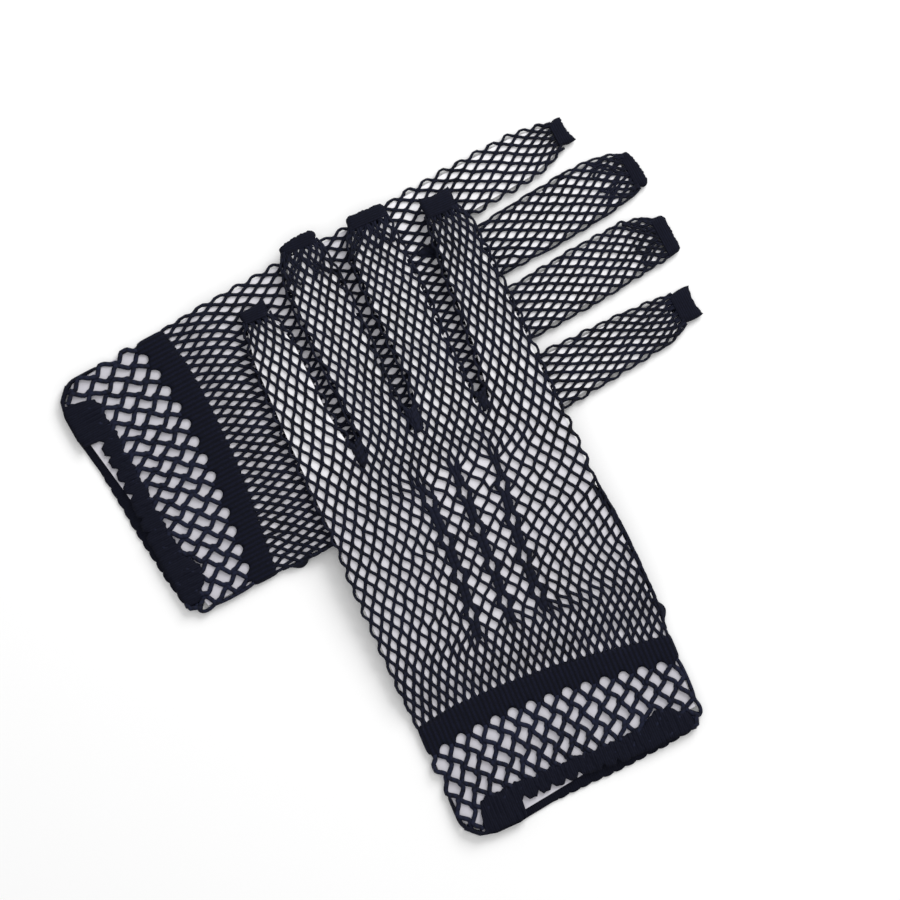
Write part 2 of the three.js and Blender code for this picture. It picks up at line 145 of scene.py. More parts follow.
@dataclass(frozen=True)
class Lie:
    """Where a glove lies: its origin in the row frame, its turn and the height of its underside."""

    origin: tuple[float, float]
    turn: float
    heights: Table

    def height(self, v: Array) -> Array:
        """The height of the glove's underside at places along it, in millimetres."""
        return self.heights.read("height", v)

    def to_row(self, points: Array) -> Array:
        """Turns points of the glove's own frame into the row frame.

        Args:
            points: Points as u, v and z, in millimetres, in the last axis.

        Returns:
            The points as x, y and z, in metres.
        """
        turned = self.turn_only(points)
        turned[..., 2] += self.height(points[..., 1])
        return turned * MM + np.array([*self.origin, 0.0])

    def from_row(self, point: Vector) -> tuple[float, float]:
        """Finds where a point of the row frame lies on the glove.

        Args:
            point: The point, in metres.

        Returns:
            Its places across and along the glove, in millimetres.
        """
        cosine, sine = self.bearing()
        x, y = (point.x - self.origin[0]) / MM, (point.y - self.origin[1]) / MM
        return x * cosine + y * sine, y * cosine - x * sine

    def bearing(self) -> tuple[float, float]:
        """The cosine and the sine of the glove's turn."""
        return math.cos(math.radians(self.turn)), math.sin(math.radians(self.turn))

    def turn_only(self, directions: Array) -> Array:
        """Turns directions of the glove's own frame into the row frame.

        Args:
            directions: Directions across, along and off the glove, in the last axis.

        Returns:
            The same directions in the row frame.
        """
        cosine, sine = self.bearing()
        u, v, z = directions[..., 0], directions[..., 1], directions[..., 2]
        return np.stack([u * cosine - v * sine, u * sine + v * cosine, z], axis=-1)


@dataclass(frozen=True)
class Yarn:
    """A thread's section, and how finely it is drawn between two knots of a net.

    steps are shares of the way along from knot to knot, and crossing says how far across the
    thread has gone at each, so that it runs upright for a while beside its neighbour. Both are
    left out for a yarn that joins no knots.
    """

    half_width: float
    half_depth: float
    sides: int
    steps: tuple[float, ...] = ()
    crossing: tuple[float, ...] = ()


FINE_YARN = Yarn(0.54, 0.43, 6, (0, 0.17, 0.38, 0.62, 0.83), (0, 0.03, 0.31, 0.69, 0.97))
HIDDEN_YARN = Yarn(0.52, 0.43, 5, (0, 0.25, 0.75), (0, 0.12, 0.88))
# The net is drawn tighter near the band and at the roots of the fingers, so threads look thicker
FINE_WIDTH = Table(
    ("v", "factor"),
    ((8, 1.12), (26, 1.15), (38, 1.06), (75, 1.08), (98, 1.12), (112, 1.04), (130, 1)),
)


class TubeMesh:
    """Collects a glove's swept tubes in one mesh, with each thread's length in its UV map."""

    def __init__(self, lie: Lie) -> None:
        """Starts with no tubes.

        Args:
            lie: Where the glove lies.
        """
        self.lie = lie
        self.points: list[Array] = []
        self.faces: list[list[int]] = []
        self.uvs: list[Array] = []
        self.count = 0

    def add(
        self, points: Array, normals: Array | tuple, yarn: Yarn, factor: Array | float = 1.0
    ) -> None:
        """Sweeps the yarn's section along one thread, or along several of the same length.

        Args:
            points: Points of the glove's own frame, with an axis for the threads if they are many.
            normals: The direction off the cloth at each point, or one direction for all.
            yarn: The section to sweep.
            factor: A factor on the section for each point, 1 for the plain yarn.
        """
        points = points.reshape(-1, *points.shape[-2:])
        paths = self.lie.to_row(points)
        normals = self.lie.turn_only(np.broadcast_to(normals, points.shape))
        threads, length, _ = paths.shape
        sides = yarn.sides
        ahead = np.gradient(paths, axis=1)
        ahead /= np.linalg.norm(ahead, axis=-1, keepdims=True)
        across = np.cross(ahead, normals)
        across /= np.linalg.norm(across, axis=-1, keepdims=True)
        out = np.cross(across, ahead)
        angles = 2 * math.pi * np.arange(sides) / sides
        scale = np.broadcast_to(factor, paths.shape[:2])[..., None, None] * MM
        rings = (
            paths[:, :, None, :]
            + scale * yarn.half_width * across[:, :, None, :] * np.cos(angles)[:, None]
            + scale * yarn.half_depth * out[:, :, None, :] * np.sin(angles)[:, None]
        )
        index = self.count + np.arange(threads * length * sides).reshape(threads, length, sides)
        beside = np.roll(index, -1, axis=2)
        quads = np.stack([index[:, :-1], index[:, 1:], beside[:, 1:], beside[:, :-1]], axis=-1)
        self.faces += quads.reshape(-1, 4).tolist()
        self.faces += index[:, 0].tolist()
        self.faces += index[:, -1, ::-1].tolist()
        self.points.append(rings.reshape(-1, 3))
        self.count += threads * length * sides

        steps = np.linalg.norm(np.diff(paths, axis=1), axis=-1) / MM
        run = np.concatenate([np.zeros((threads, 1)), np.cumsum(steps, axis=1)], axis=1)
        run = np.broadcast_to(run[:, :, None], (threads, length, sides))
        low = np.broadcast_to(np.arange(sides) / sides, (threads, length, sides))
        high = low + 1 / sides
        corners = [
            np.stack([run[:, :-1], low[:, :-1]], axis=-1),
            np.stack([run[:, 1:], low[:, 1:]], axis=-1),
            np.stack([run[:, 1:], high[:, 1:]], axis=-1),
            np.stack([run[:, :-1], high[:, :-1]], axis=-1),
        ]
        self.uvs.append(np.stack(corners, axis=-2).reshape(-1, 2))
        self.uvs.append(np.zeros((2 * threads * sides, 2)))

    def build(self, name: str) -> bpy.types.Object:
        """Makes the collected tubes one object.

        Args:
            name: The object's name.

        Returns:
            The new object, at the origin.
        """
        points, uvs = np.concatenate(self.points), np.concatenate(self.uvs)
        return object_from_faces(name, points, self.faces, uvs)


def object_from_faces(
    name: str, points: Array, faces: list[list[int]], uvs: Array | None = None
) -> bpy.types.Object:
    """Makes a smooth-shaded object of points and faces.

    Args:
        name: The object's name.
        points: The vertices, in metres.
        faces: Lists of vertex numbers, in order round each face.
        uvs: One pair for each corner of each face, or None.

    Returns:
        The new object, linked to the scene.
    """
    mesh = bpy.data.meshes.new(name)
    mesh.from_pydata(points.tolist(), [], faces)
    if uvs is not None:
        layer = mesh.uv_layers.new(name="Cloth")
        layer.data.foreach_set("uv", uvs.astype(np.float32).ravel())
    mesh.polygons.foreach_set("use_smooth", np.ones(len(mesh.polygons), bool))
    mesh.update()
    piece = bpy.data.objects.new(name, mesh)
    bpy.context.scene.collection.objects.link(piece)
    return piece


def to_linear(code: str) -> tuple[float, float, float, float]:
    """Turns an sRGB hex colour into a linear one.

    Args:
        code: The colour, as # and six hex digits.

    Returns:
        Its linear red, green and blue, and alpha 1.
    """
    shares = [int(code[start : start + 2], 16) / 255 for start in (1, 3, 5)]
    linear = [s / 12.92 if s <= 0.04045 else ((s + 0.055) / 1.055) ** 2.4 for s in shares]
    return (*linear, 1.0)


def fill_inputs(material: bpy.types.Material, node: bpy.types.Node, inputs: dict) -> None:
    """Sets or links a node's inputs.

    Args:
        material: The node's material.
        node: The node.
        inputs: For each input, by name or number, a value, a socket or a node, which gives its
            first output.
    """
    for key, value in inputs.items():
        if isinstance(value, bpy.types.Node):
            value = value.outputs[0]
        if isinstance(value, bpy.types.NodeSocket):
            material.node_tree.links.new(value, node.inputs[key])
        else:
            node.inputs[key].default_value = value


def add_node(
    material: bpy.types.Material, kind: str, inputs: dict | None = None, **settings: object
) -> bpy.types.Node:
    """Adds a shader node.

    Args:
        material: The material to add it to.
        kind: The node's type, without the words that all types start with.
        inputs: What its inputs get, as fill_inputs takes it.
        settings: The node's own settings.

    Returns:
        The new node.
    """
    node = material.node_tree.nodes.new(f"ShaderNode{kind}")
    for key, value in settings.items():
        setattr(node, key, value)
    fill_inputs(material, node, inputs or {})
    return node


class Finish:
    """What a surface is made of. Each finish is made once and shared."""

    name = "plain"

    def material(self) -> bpy.types.Material:
        """Finds the finish's material, or makes it on first use.

        Returns:
            The material.
        """
        found = bpy.data.materials.get(self.name)
        if found:
            return found
        made = bpy.data.materials.new(self.name)
        made.use_nodes = True
        self.draw(made, made.node_tree.nodes["Principled BSDF"])
        return made

    def draw(self, material: bpy.types.Material, surface: bpy.types.Node) -> None:
        """Sets up the nodes.

        Args:
            material: The new material.
            surface: Its shader.
        """
        raise NotImplementedError


def dress(piece: bpy.types.Object, finish: Finish, slot: Slot, *nodes: str) -> bpy.types.Object:
    """Gives a finished piece its material, its body and the solids that it stands for.

    Args:
        piece: The finished piece.
        finish: What its surface is.
        slot: The record's material slot; not used.
        nodes: The CAD nodes that it stands for.

    Returns:
        The same piece.
    """
    piece.data.materials.clear()
    piece.data.materials.append(finish.material())
    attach(piece, "root")
    if nodes:
        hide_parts(*nodes)
    log.info("%s: %d faces", piece.name, len(piece.data.polygons))
    return piece


@dataclass(frozen=True)
class TwistedNylon(Finish):
    """Textured nylon yarn, plied and dyed nearly black navy: soft, matt, with a faint sheen."""

    name: str = "twisted_nylon_yarn"
    dark: str = "#05060d"
    light: str = "#121526"
    twist_mm: float = 1.1
    fibres_per_mm: float = 2.2
    patches_per_mm: float = 0.07
    ply_depth_mm: float = 0.25
    roughness: float = 0.8
    sheen: float = 0.16

    def draw(self, material: bpy.types.Material, surface: bpy.types.Node) -> None:
        """Draws the ply's slanting ridges along the thread and fine loose fibres, with painted
        shade in the grooves between the plies and painted highlight on their crests.

        Args:
            material: The new material.
            surface: Its shader.
        """
        cloth = add_node(material, "UVMap", uv_map="Cloth")
        parts = add_node(material, "SeparateXYZ", {0: cloth})
        run = add_node(
            material, "Math", {0: parts.outputs["X"], 1: 1 / self.twist_mm}, operation="MULTIPLY"
        )
        turn = add_node(material, "Math", {0: parts.outputs["Y"], 1: 2.0}, operation="MULTIPLY")
        phase = add_node(material, "Math", {0: run, 1: turn}, operation="ADD")
        ridge = add_node(material, "Math", {0: phase, 1: 1.0}, operation="PINGPONG")
        place = add_node(material, "TexCoord").outputs["Object"]
        fibre_scale, patch_scale = self.fibres_per_mm / MM, self.patches_per_mm / MM
        fibres = add_node(
            material, "TexNoise", {"Vector": place, "Scale": fibre_scale, "Detail": 3.0}
        )
        # Broad random patches, lighter in places
        patches = add_node(
            material, "TexNoise", {"Vector": place, "Scale": patch_scale, "Detail": 2.0}
        )
        # Painted shade and highlight: the colour follows the ply's relief, darker in its grooves
        # and lighter on its crests
        both = add_node(material, "Math", {0: ridge, 1: fibres}, operation="MULTIPLY")
        shade = add_node(material, "Math", {0: both, 1: patches}, operation="ADD")
        ramp = add_node(material, "ValToRGB", {0: shade})
        dark_end, light_end = ramp.color_ramp.elements
        dark_end.position, dark_end.color = 0.3, to_linear(self.dark)
        light_end.position, light_end.color = 1.2 / 1.3, to_linear(self.light)
        depth = self.ply_depth_mm * MM
        bump = add_node(material, "Bump", {"Height": both, "Strength": 0.5, "Distance": depth})
        fill_inputs(material, surface, {
            "Base Color": ramp, "Normal": bump,
            "Roughness": self.roughness, "Specular IOR Level": self.sheen,
        })


@dataclass(frozen=True)
class RibKnit(Finish):
    """Dense rib knit of the same yarn: rows of small stitches that slant to both sides."""

    name: str = "dense_rib_knit"
    dark: str = "#06070f"
    light: str = "#131629"
    stitch_mm: float = 0.85
    row_mm: float = 0.7
    slant: float = 0.9
    fibres_per_mm: float = 1.5
    stitch_depth_mm: float = 0.3
    roughness: float = 0.82
    sheen: float = 0.12

    def draw(self, material: bpy.types.Material, surface: bpy.types.Node) -> None:
        """Draws rows of stitches across the cloth's own UV map, in millimetres, with painted shade
        in the stitches' hollows and painted highlight on their tops.

        Args:
            material: The new material.
            surface: Its shader.
        """
        cloth = add_node(material, "UVMap", uv_map="Cloth")
        parts = add_node(material, "SeparateXYZ", {0: cloth})
        column = add_node(
            material, "Math", {0: parts.outputs["X"], 1: self.stitch_mm}, operation="PINGPONG"
        )
        slanted = add_node(
            material, "Math", {0: column, 1: self.slant, 2: parts.outputs["Y"]},
            operation="MULTIPLY_ADD",
        )
        row = add_node(material, "Math", {0: slanted, 1: self.row_mm / 2}, operation="PINGPONG")
        lift = add_node(material, "Math", {0: row, 1: column}, operation="ADD")
        place = add_node(material, "TexCoord").outputs["Object"]
        fibre_scale = self.fibres_per_mm / MM
        fibres = add_node(
            material, "TexNoise", {"Vector": place, "Scale": fibre_scale, "Detail": 4.0}
        )
        # Painted shade and highlight: the colour follows the stitches' relief, darker in the
        # hollows and lighter on the tops
        shade = add_node(material, "Math", {0: lift, 1: fibres}, operation="MULTIPLY")
        ramp = add_node(material, "ValToRGB", {0: shade})
        dark_end, light_end = ramp.color_ramp.elements
        dark_end.position, dark_end.color = 0.05, to_linear(self.dark)
        light_end.position, light_end.color = 0.7, to_linear(self.light)
        depth = self.stitch_depth_mm * MM
        bump = add_node(material, "Bump", {"Height": lift, "Strength": 0.6, "Distance": depth})
        fill_inputs(material, surface, {
            "Base Color": ramp, "Normal": bump,
            "Roughness": self.roughness, "Specular IOR Level": self.sheen,
        })


@dataclass(frozen=True)
class PackingCard(Finish):
    """Thin pale card, calendered on one side: smooth and matt, with faint mottling of its pulp.

    Its change along the glove is painted light and shade: the plain card is painted greyer towards
    the wrist and whiter in the fingers. turn and start say which way and from where that runs,
    from the glove's lie.
    """

    name: str = "pale_packing_card"
    turn: float = 0.0
    start: tuple[float, float] = (0.0, 0.0)
    # Painted shade and light on a card of one colour: greyer at the wrist, whiter in the fingers
    wrist: str = "#c8c6ce"
    palm: str = "#e3e1e8"
    fingers: str = "#fcfbff"
    palm_from_mm: float = 12.0
    palm_to_mm: float = 85.0
    fingers_from_mm: float = 115.0
    mottle: float = 0.06
    pulp_per_mm: float = 0.26
    tooth_per_mm: float = 3.0
    tooth_depth_mm: float = 0.05
    roughness: float = 0.6

    def draw(self, material: bpy.types.Material, surface: bpy.types.Node) -> None:
        """Draws the painted shade along the card, the pulp's mottling and a fine tooth.

        Args:
            material: The new material.
            surface: Its shader.
        """
        place = add_node(material, "TexCoord").outputs["Object"]
        pulp_scale, tooth_scale = self.pulp_per_mm / MM, self.tooth_per_mm / MM
        pulp = add_node(material, "TexNoise", {"Vector": place, "Scale": pulp_scale, "Detail": 5.0})
        turn = (0.0, 0.0, math.radians(self.turn))
        along = add_node(
            material, "Mapping",
            {"Vector": place, "Location": (*self.start, 0.0), "Rotation": turn},
            vector_type="TEXTURE",
        )
        parts = add_node(material, "SeparateXYZ", {0: along})
        stretch = self.fingers_from_mm * MM
        share = add_node(
            material, "Math", {0: parts.outputs["Y"], 1: stretch}, operation="DIVIDE"
        )
        mottled = add_node(
            material, "Math", {0: pulp, 1: self.mottle, 2: share}, operation="MULTIPLY_ADD"
        )
        # Painted shade: the colour runs from grey at the wrist to white in the fingers, with the
        # pulp's mottling on it
        ramp = add_node(material, "ValToRGB", {0: mottled})
        shades = ramp.color_ramp.elements
        shades[0].position, shades[0].color = 0.0, to_linear(self.wrist)
        shades[1].position, shades[1].color = 1.0, to_linear(self.fingers)
        for start in (self.palm_from_mm, self.palm_to_mm):
            shades.new(start * MM / stretch).color = to_linear(self.palm)
        tooth = add_node(
            material, "TexNoise", {"Vector": place, "Scale": tooth_scale, "Detail": 2.0}
        )
        depth = self.tooth_depth_mm * MM
        bump = add_node(material, "Bump", {"Height": tooth, "Strength": 0.15, "Distance": depth})
        fill_inputs(
            material, surface, {"Base Color": ramp, "Normal": bump, "Roughness": self.roughness}
        )


YARN_FINISH = TwistedNylon()
CORD_FINISH = TwistedNylon("twisted_nylon_cord", "#0a0b15", "#181c30")
RIB_FINISH = RibKnit()
# The same navy yarn as the band: the frill's copy, which the finger caps also wear, has a lighter
# end, a stronger painted highlight
FRILL_FINISH = RibKnit("gathered_rib_knit", "#090a14", "#1c2036", stitch_mm=0.4, row_mm=0.5)


@dataclass(frozen=True)
class CapShape:
    """The dense knitted end of a finger, seen flat.

    lean lowers its left end, waist narrows its foot, corner rounds the ends of its top edge and
    hollow sinks the middle of that edge.
    """

    left: float
    right: float
    length: float
    lean: float = 0.0
    waist: float = 0.0
    corner: float = 0.5
    hollow: float = 0.0


# How far a knot on a finger's fold stands out past the fold's line, and the width of a finger
# by which that becomes a share of its width
EDGE_BULGE = 0.45
FINGER_WIDTH = 20.0
# How far the net runs on under a finger's cap
UNDER_CAP = 0.8


@dataclass(frozen=True)
class Finger:
    """One finger of the net: its outline, the half columns of cells it takes and its rows.

    crowding says how much closer the rows lie towards the tip, squeeze how wide the half
    column at each fold is against the others, and doubled how long a stretch below the cap is
    knitted double.
    """

    name: str
    first: int
    last: int
    outline: Table
    rows: int
    crowding: float
    squeeze: float
    cap: CapShape
    doubled: float = 0.0

    def end(self) -> float:
        """Where the net ends under the finger's cap."""
        return self.outline.rows[-1][0]

    def columns(self, place: Array) -> Array:
        """Spreads the finger's half columns over its width, squeezed at both folds.

        Args:
            place: Half columns, counted over the whole hand.

        Returns:
            Shares of the finger's width.
        """
        count = self.last - self.first
        weights = np.ones(count)
        weights[0] = weights[-1] = self.squeeze
        shares = np.concatenate([[0], np.cumsum(weights)]) / weights.sum()
        shares[0], shares[-1] = -EDGE_BULGE / FINGER_WIDTH, 1 + EDGE_BULGE / FINGER_WIDTH
        return np.interp(place - self.first, np.arange(count + 1), shares)


# The fine net: its rows in the palm, the place of the first and the step to the next, and its
# half columns at the band and at the knuckles
PALM_ROWS = 28
FIRST_ROW = 10.2
ROW_STEP = 3.43
BAND_HALF_COLUMNS = 58
HALF_COLUMNS = 49
# Where the hand's sides give way to each finger's own folds
ROOT_FOLDS = (99, 107)
# Some columns run round the fold on the index side: this one lies on the fold
FOLD_COLUMN = Table(("v", "column"), ((8, 58), (25, 55.5), (41, 54), (55, 50.7), (62, 49)))
# How far rows 0, 12, 25 and 28 lie off a level line
ROW_BEND = Table(
    ("u", "first", "middle", "last", "root"),
    (
        (-52, -2.8, 0, 0.3, 0.3),
        (-36, -0.6, 0, -0.4, -0.6),
        (-28, -0.1, -0.1, -1.1, -2.1),
        (-20, 0, -0.4, -2.2, -3.6),
        (-8.5, -0.3, -1.4, -3.2, -4.8),
        (3.3, -0.9, -3, -4.1, -6),
        (14, -1.6, -4, -6, -7.6),
        (20, -2.4, -4.6, -7.6, -8),
        (27, -3.3, -5.4, -8.8, -9),
        (34, -4.9, -7.9, -9.3, -9.3),
        (40, -6.4, -10.4, -9.9, -9.9),
        (46, -7.9, -12.3, -10.2, -10.2),
    ),
)
BENT_ROWS = (0, 12, 25, 28)
# Where half columns lie across the knuckles, above the points
KNUCKLES = Table(
    ("column", "u"),
    ((0, -52.5), (10, -31.5), (19, -15.3), (27, -1), (35, 13.8), (43, 30.5), (49, 43.2)),
)
OUTLINE = ("v", "left", "right")
FINGERS = (
    Finger(
        "little", 0, 10,
        Table(OUTLINE, (
            (92, -52.3, -31), (107, -52.8, -30.7), (122, -53.3, -33.6), (148, -53.4, -34.8),
            (157, -51.8, -37), (162, -50.2, -39.6),
        )),
        rows=18, crowding=0.12, squeeze=1.0,
        cap=CapShape(-50.4, -40.2, 5.6, lean=1.4, waist=0.12, corner=0.3, hollow=0.8),
    ),
    Finger(
        "ring", 10, 23,
        Table(OUTLINE, (
            (92, -29.6, -9.2), (110, -29.3, -9), (122, -29.8, -10.2), (148, -31.6, -10.4),
            (160, -32.2, -11.2), (169, -31.8, -12), (175.5, -30.2, -13), (179.2, -28.2, -14.2),
        )),
        rows=26, crowding=0.1, squeeze=0.45,
        cap=CapShape(-28.4, -14.3, 3.9, lean=1.3, waist=0.16, corner=1.5, hollow=-0.5),
        doubled=12.5,
    ),
    Finger(
        "middle", 23, 36,
        Table(OUTLINE, (
            (92, -7.4, 16.2), (110, -7, 16), (122, -5.4, 14.8), (148, -7, 14.3),
            (168, -7.2, 12.8), (174.5, -5.6, 12.4), (178, -3, 11.8),
        )),
        rows=28, crowding=0.14, squeeze=0.6,
        cap=CapShape(-2.8, 11.8, 4.2, waist=-0.04, corner=1.3),
        doubled=10.0,
    ),
    Finger(
        "index", 36, 49,
        Table(OUTLINE, (
            (92, 18.4, 42.8), (106, 18.2, 42.2), (122, 20.2, 41.9), (148, 21.1, 40.4),
            (163, 22.3, 39.2), (168.5, 23, 37.8), (171.2, 23.6, 36),
        )),
        rows=24, crowding=0.12, squeeze=0.75,
        cap=CapShape(23.6, 35.6, 7.2, waist=0.06, corner=0.4, hollow=1.0),
    ),
)
THUMB = Finger(
    "thumb", 0, 12,
    Table(OUTLINE, (
        (20, 22.6, 45.6), (40, 23.6, 45.2), (55, 23.6, 43.6), (64, 23, 41.8),
        (76, 22, 38.4), (82, 23, 36.2),
    )),
    rows=18, crowding=0.0, squeeze=0.5,
    cap=CapShape(23.2, 35.6, 5, corner=1.0),
)


@dataclass(frozen=True)
class PointLine:
    """A decorative point: the middle line of its stitches and the places of its open eyes.

    It draws a bunch of half columns of the net together, of which first is the leftmost.
    """

    name: str
    line: Table
    eyes: tuple[float, ...]
    first: int
    parting: float = 3.4

    def parted(self, v: Array) -> Array:
        """Works out how far the point is parted.

        Args:
            v: Places along the glove.

        Returns:
            1 at an open eye, 0 where the point is closed, and between them beside an eye.
        """
        part = np.zeros_like(v)
        for eye in self.eyes:
            near = np.clip(1 - np.abs(v - eye) / self.parting, 0, 1)
            part = np.maximum(part, np.sin(near * math.pi / 2) ** 2)
        return part


LINE = ("v", "u")
POINTS = (
    PointLine(
        "ring",
        Table(LINE, ((27, -17), (36.5, -16), (50.5, -14.5), (64, -14), (79, -14), (85, -15))),
        eyes=(36.5, 50.5, 64, 79), first=17,
    ),
    PointLine(
        "middle",
        Table(LINE, ((28, -4), (36, -3.5), (49.5, -2.5), (63.5, -2.2), (77, -1.5), (85, -1.5))),
        eyes=(36, 49.5, 63.5, 77), first=25,
    ),
    PointLine(
        "index",
        Table(LINE, ((27, 8.5), (34.5, 8.5), (48, 9), (61.5, 10.5), (74.5, 12), (79, 13))),
        eyes=(34.5, 48, 61.5, 74.5), first=33,
    ),
)


@dataclass(frozen=True)
class Crotch:
    """The tangle that closes the net between two fingers, and how it is laid.

    It narrows and sags towards its foot, and its height falls off from the middle to the sides.
    """

    middle: float
    top: float
    foot: float
    half_width: float
    threads: int = 7
    points: int = 9
    narrowing: float = 0.55
    sag: float = 1.2
    height: float = 1.25
    fall: float = 0.5
    unevenness: tuple[float, float, float] = (0.2, 0.25, 0.08)
    thickness: float = 1.15


CROTCHES = (
    Crotch(-30.2, 109.5, 99.8, 2.0), Crotch(-7.4, 113, 103, 2.1), Crotch(17.4, 108.5, 101, 1.7),
)


@dataclass(frozen=True)
class NetPlan:
    """Where the knots of the hand's net lie in one layer. Rows and half columns number them.

    Knots lie where a row and a half column make an even sum, and open cells where they don't.
    """

    face: Face
    bunched: bool
    bunch_count: int = 4
    bunch_half_width: float = 0.85
    parted_half_width: float = 1.9
    eye_half_width: float = 1.3
    eye_half_length: float = 2.8
    drawn_from: tuple[float, float] = (23, 34)
    knuckles_from: tuple[float, float] = (82, 92)
    fingers_from: tuple[float, float] = (94, 107)
    knot_offset: float = 0.32
    unevenness: float = 0.14
    most_knots: int = 64
    rounds: int = 4
    seed: int = 7

    def fold_column(self, v: Array) -> Array:
        """Finds the half column that lies on the index side's fold.

        Args:
            v: Places along the glove.

        Returns:
            The half column at each place.
        """
        if self.face is Face.LOWER:
            return np.full_like(v, float(HALF_COLUMNS))
        return FOLD_COLUMN.read("column", v)

    def bend(self, u: Array, row: Array) -> Array:
        """Works out how far a row lies off its level line, from the known rows beside it.

        Args:
            u: Places across the glove.
            row: The row at each place.

        Returns:
            Lengths along the glove.
        """
        known = [ROW_BEND.read(column, u) for column in ROW_BEND.columns[1:]]
        bend = known[0]
        for below, start, end in zip(range(len(known) - 1), BENT_ROWS, BENT_ROWS[1:]):
            share = np.clip((row - start) / (end - start), 0, 1)
            bend = bend + (known[below + 1] - known[below]) * share
        return bend

    def row_place(self, finger: Finger, u: Array, row: Array) -> Array:
        """Works out where a row lies along the glove.

        Args:
            finger: The finger that the row runs through, or that is above it.
            u: Places across the glove.
            row: The row at each place.

        Returns:
            Places along the glove.
        """
        palm_row = np.minimum(row, PALM_ROWS)
        palm = FIRST_ROW + ROW_STEP * palm_row + self.bend(u, palm_row)
        past = np.clip((row - PALM_ROWS) / finger.rows, 0, 1)
        past = past + finger.crowding * (past - past**3)
        return palm + past * (finger.end() + UNDER_CAP - palm)

    def drawn_in(self, column: Array, v: Array, left: Array, right: Array) -> Array:
        """Where a half column lies between the folds, drawn together at the points.

        Args:
            column: Half columns.
            v: Places along the glove.
            left: The left fold at each place.
            right: The right fold.

        Returns:
            Places across the glove.
        """
        keys, places = [np.zeros_like(v)], [left]
        for point in POINTS if self.bunched else POINTS[:1]:
            middle = point.line.read("u", v)
            parted = self.parted_half_width - self.bunch_half_width
            half = self.bunch_half_width + parted * point.parted(v)
            keys.append(np.full_like(v, point.first))
            places.append(middle - half)
            if self.bunched:
                keys.append(np.full_like(v, point.first + self.bunch_count))
                places.append(middle + half)
        keys.append(self.fold_column(v))
        places.append(right)
        drawn = np.zeros_like(left + column)
        for start in range(len(keys) - 1):
            share = (column - keys[start]) / (keys[start + 1] - keys[start])
            place = places[start] + share * (places[start + 1] - places[start])
            drawn = np.where(column >= keys[start], place, drawn)
        return drawn

    def place_across(self, finger: Finger, column: Array, v: Array) -> Array:
        """Where a half column lies across the glove.

        Args:
            finger: The finger that the column runs into.
            column: Half columns, counted over the whole hand.
            v: Places along the glove.

        Returns:
            Places across the glove.
        """
        left, right = PALM.read("left", v), PALM.read("right", v)
        spread = left + (right - left) * column / self.fold_column(v)
        drawn = self.drawn_in(column, v, left, right)
        lower = spread + ease(v, *self.drawn_from) * (drawn - spread)
        knuckle = KNUCKLES.read("u", column)
        across = lower + ease(v, *self.knuckles_from) * (knuckle - lower)
        finger_left = finger.outline.read("left", v)
        finger_right = finger.outline.read("right", v)
        in_finger = finger_left + (finger_right - finger_left) * finger.columns(column)
        return across + ease(v, *self.fingers_from) * (in_finger - across)

    def open_eyes(self, u: Array, v: Array) -> Array:
        """Moves threads aside where a point has an open eye.

        Args:
            u: Places across the glove.
            v: Places along it.

        Returns:
            The places across, clear of the eyes.
        """
        for point in POINTS if self.bunched else ():
            for eye in point.eyes:
                middle = point.line.read("u", v)
                reach = 1 - ((v - eye) / self.eye_half_length) ** 2
                half = self.eye_half_width * np.sqrt(np.clip(reach, 0, 1)) + FINE_YARN.half_width
                near = (reach > 0) & (np.abs(u - middle) < half)
                u = np.where(near, middle + np.where(u < middle, -half, half), u)
        return u

    def knots(self, finger: Finger, threads: Array, rows: Array) -> tuple[Array, Array]:
        """The places of threads' knots in a finger or in the part of the palm below it.

        Args:
            finger: The finger.
            threads: The threads, each by the half column on its left.
            rows: The rows to place.

        Returns:
            Places across and along, with a row for each thread.
        """
        threads, rows = threads[:, None], rows[None, :]
        column = threads + (rows + threads) % 2
        across = np.zeros(column.shape)
        for _ in range(self.rounds):
            along = self.row_place(finger, across, rows + 0 * column)
            across = self.place_across(finger, column.astype(float), along)
        shift = self.knot_offset * np.where(column == threads, 1, -1)
        size = (2, self.most_knots, self.most_knots)
        wobble = np.random.default_rng(self.seed).normal(0, self.unevenness, size)
        return across + shift + wobble[0][column, rows], along + wobble[1][column, rows]


def fill_between(knots: Array, shares: Array) -> Array:
    """Finds values at shares of the way from each knot to the next, and at the last knot.

    Args:
        knots: A value for each knot, with a row for each thread.
        shares: Shares of the way.

    Returns:
        The values, with a row for each thread.
    """
    start, step = knots[:, :-1, None], np.diff(knots, axis=1)[:, :, None]
    drawn = (start + step * shares).reshape(len(knots), -1)
    return np.concatenate([drawn, knots[:, -1:]], axis=1)


def draw_threads(across: Array, along: Array, yarn: Yarn, weave: Array) -> tuple[Array, ...]:
    """Draws threads through their knots, upright beside each knot and slanting between them.

    Args:
        across: Places of the knots across the cloth, a row for each thread.
        along: Places of the knots along the cloth.
        yarn: How finely to draw.
        weave: How far off the cloth each thread passes at each knot.

    Returns:
        Places across, along and off the cloth.
    """
    steps, crossing = np.array(yarn.steps), np.array(yarn.crossing)
    return (
        fill_between(across, crossing), fill_between(along, steps), fill_between(weave, crossing)
    )


def weave_at(thread: Array, knot: Array, height: float) -> Array:
    """Lets a thread pass over its neighbour at two knots and under it at the next two.

    Args:
        thread: The numbers of the threads.
        knot: The numbers of the knots.
        height: How far off the cloth it passes.

    Returns:
        Heights off the cloth.
    """
    return height * np.where((knot // 2 + thread) % 2 == 0, 1.0, -1.0)


def smooth_route(points: tuple[tuple[float, float], ...], rounds: int = 3) -> Array:
    """Rounds a route's corners by cutting each of them again and again, with its ends kept.

    Args:
        points: The route's points.
        rounds: How many times to cut.

    Returns:
        The points of the smooth route.
    """
    route = np.array(points, float)
    for _ in range(rounds):
        step = np.diff(route, axis=0)
        cut = np.stack([route[:-1] + 0.25 * step, route[:-1] + 0.75 * step], axis=1)
        route = np.concatenate([route[:1], cut.reshape(-1, 2)[1:-1], route[-1:]])
    return route


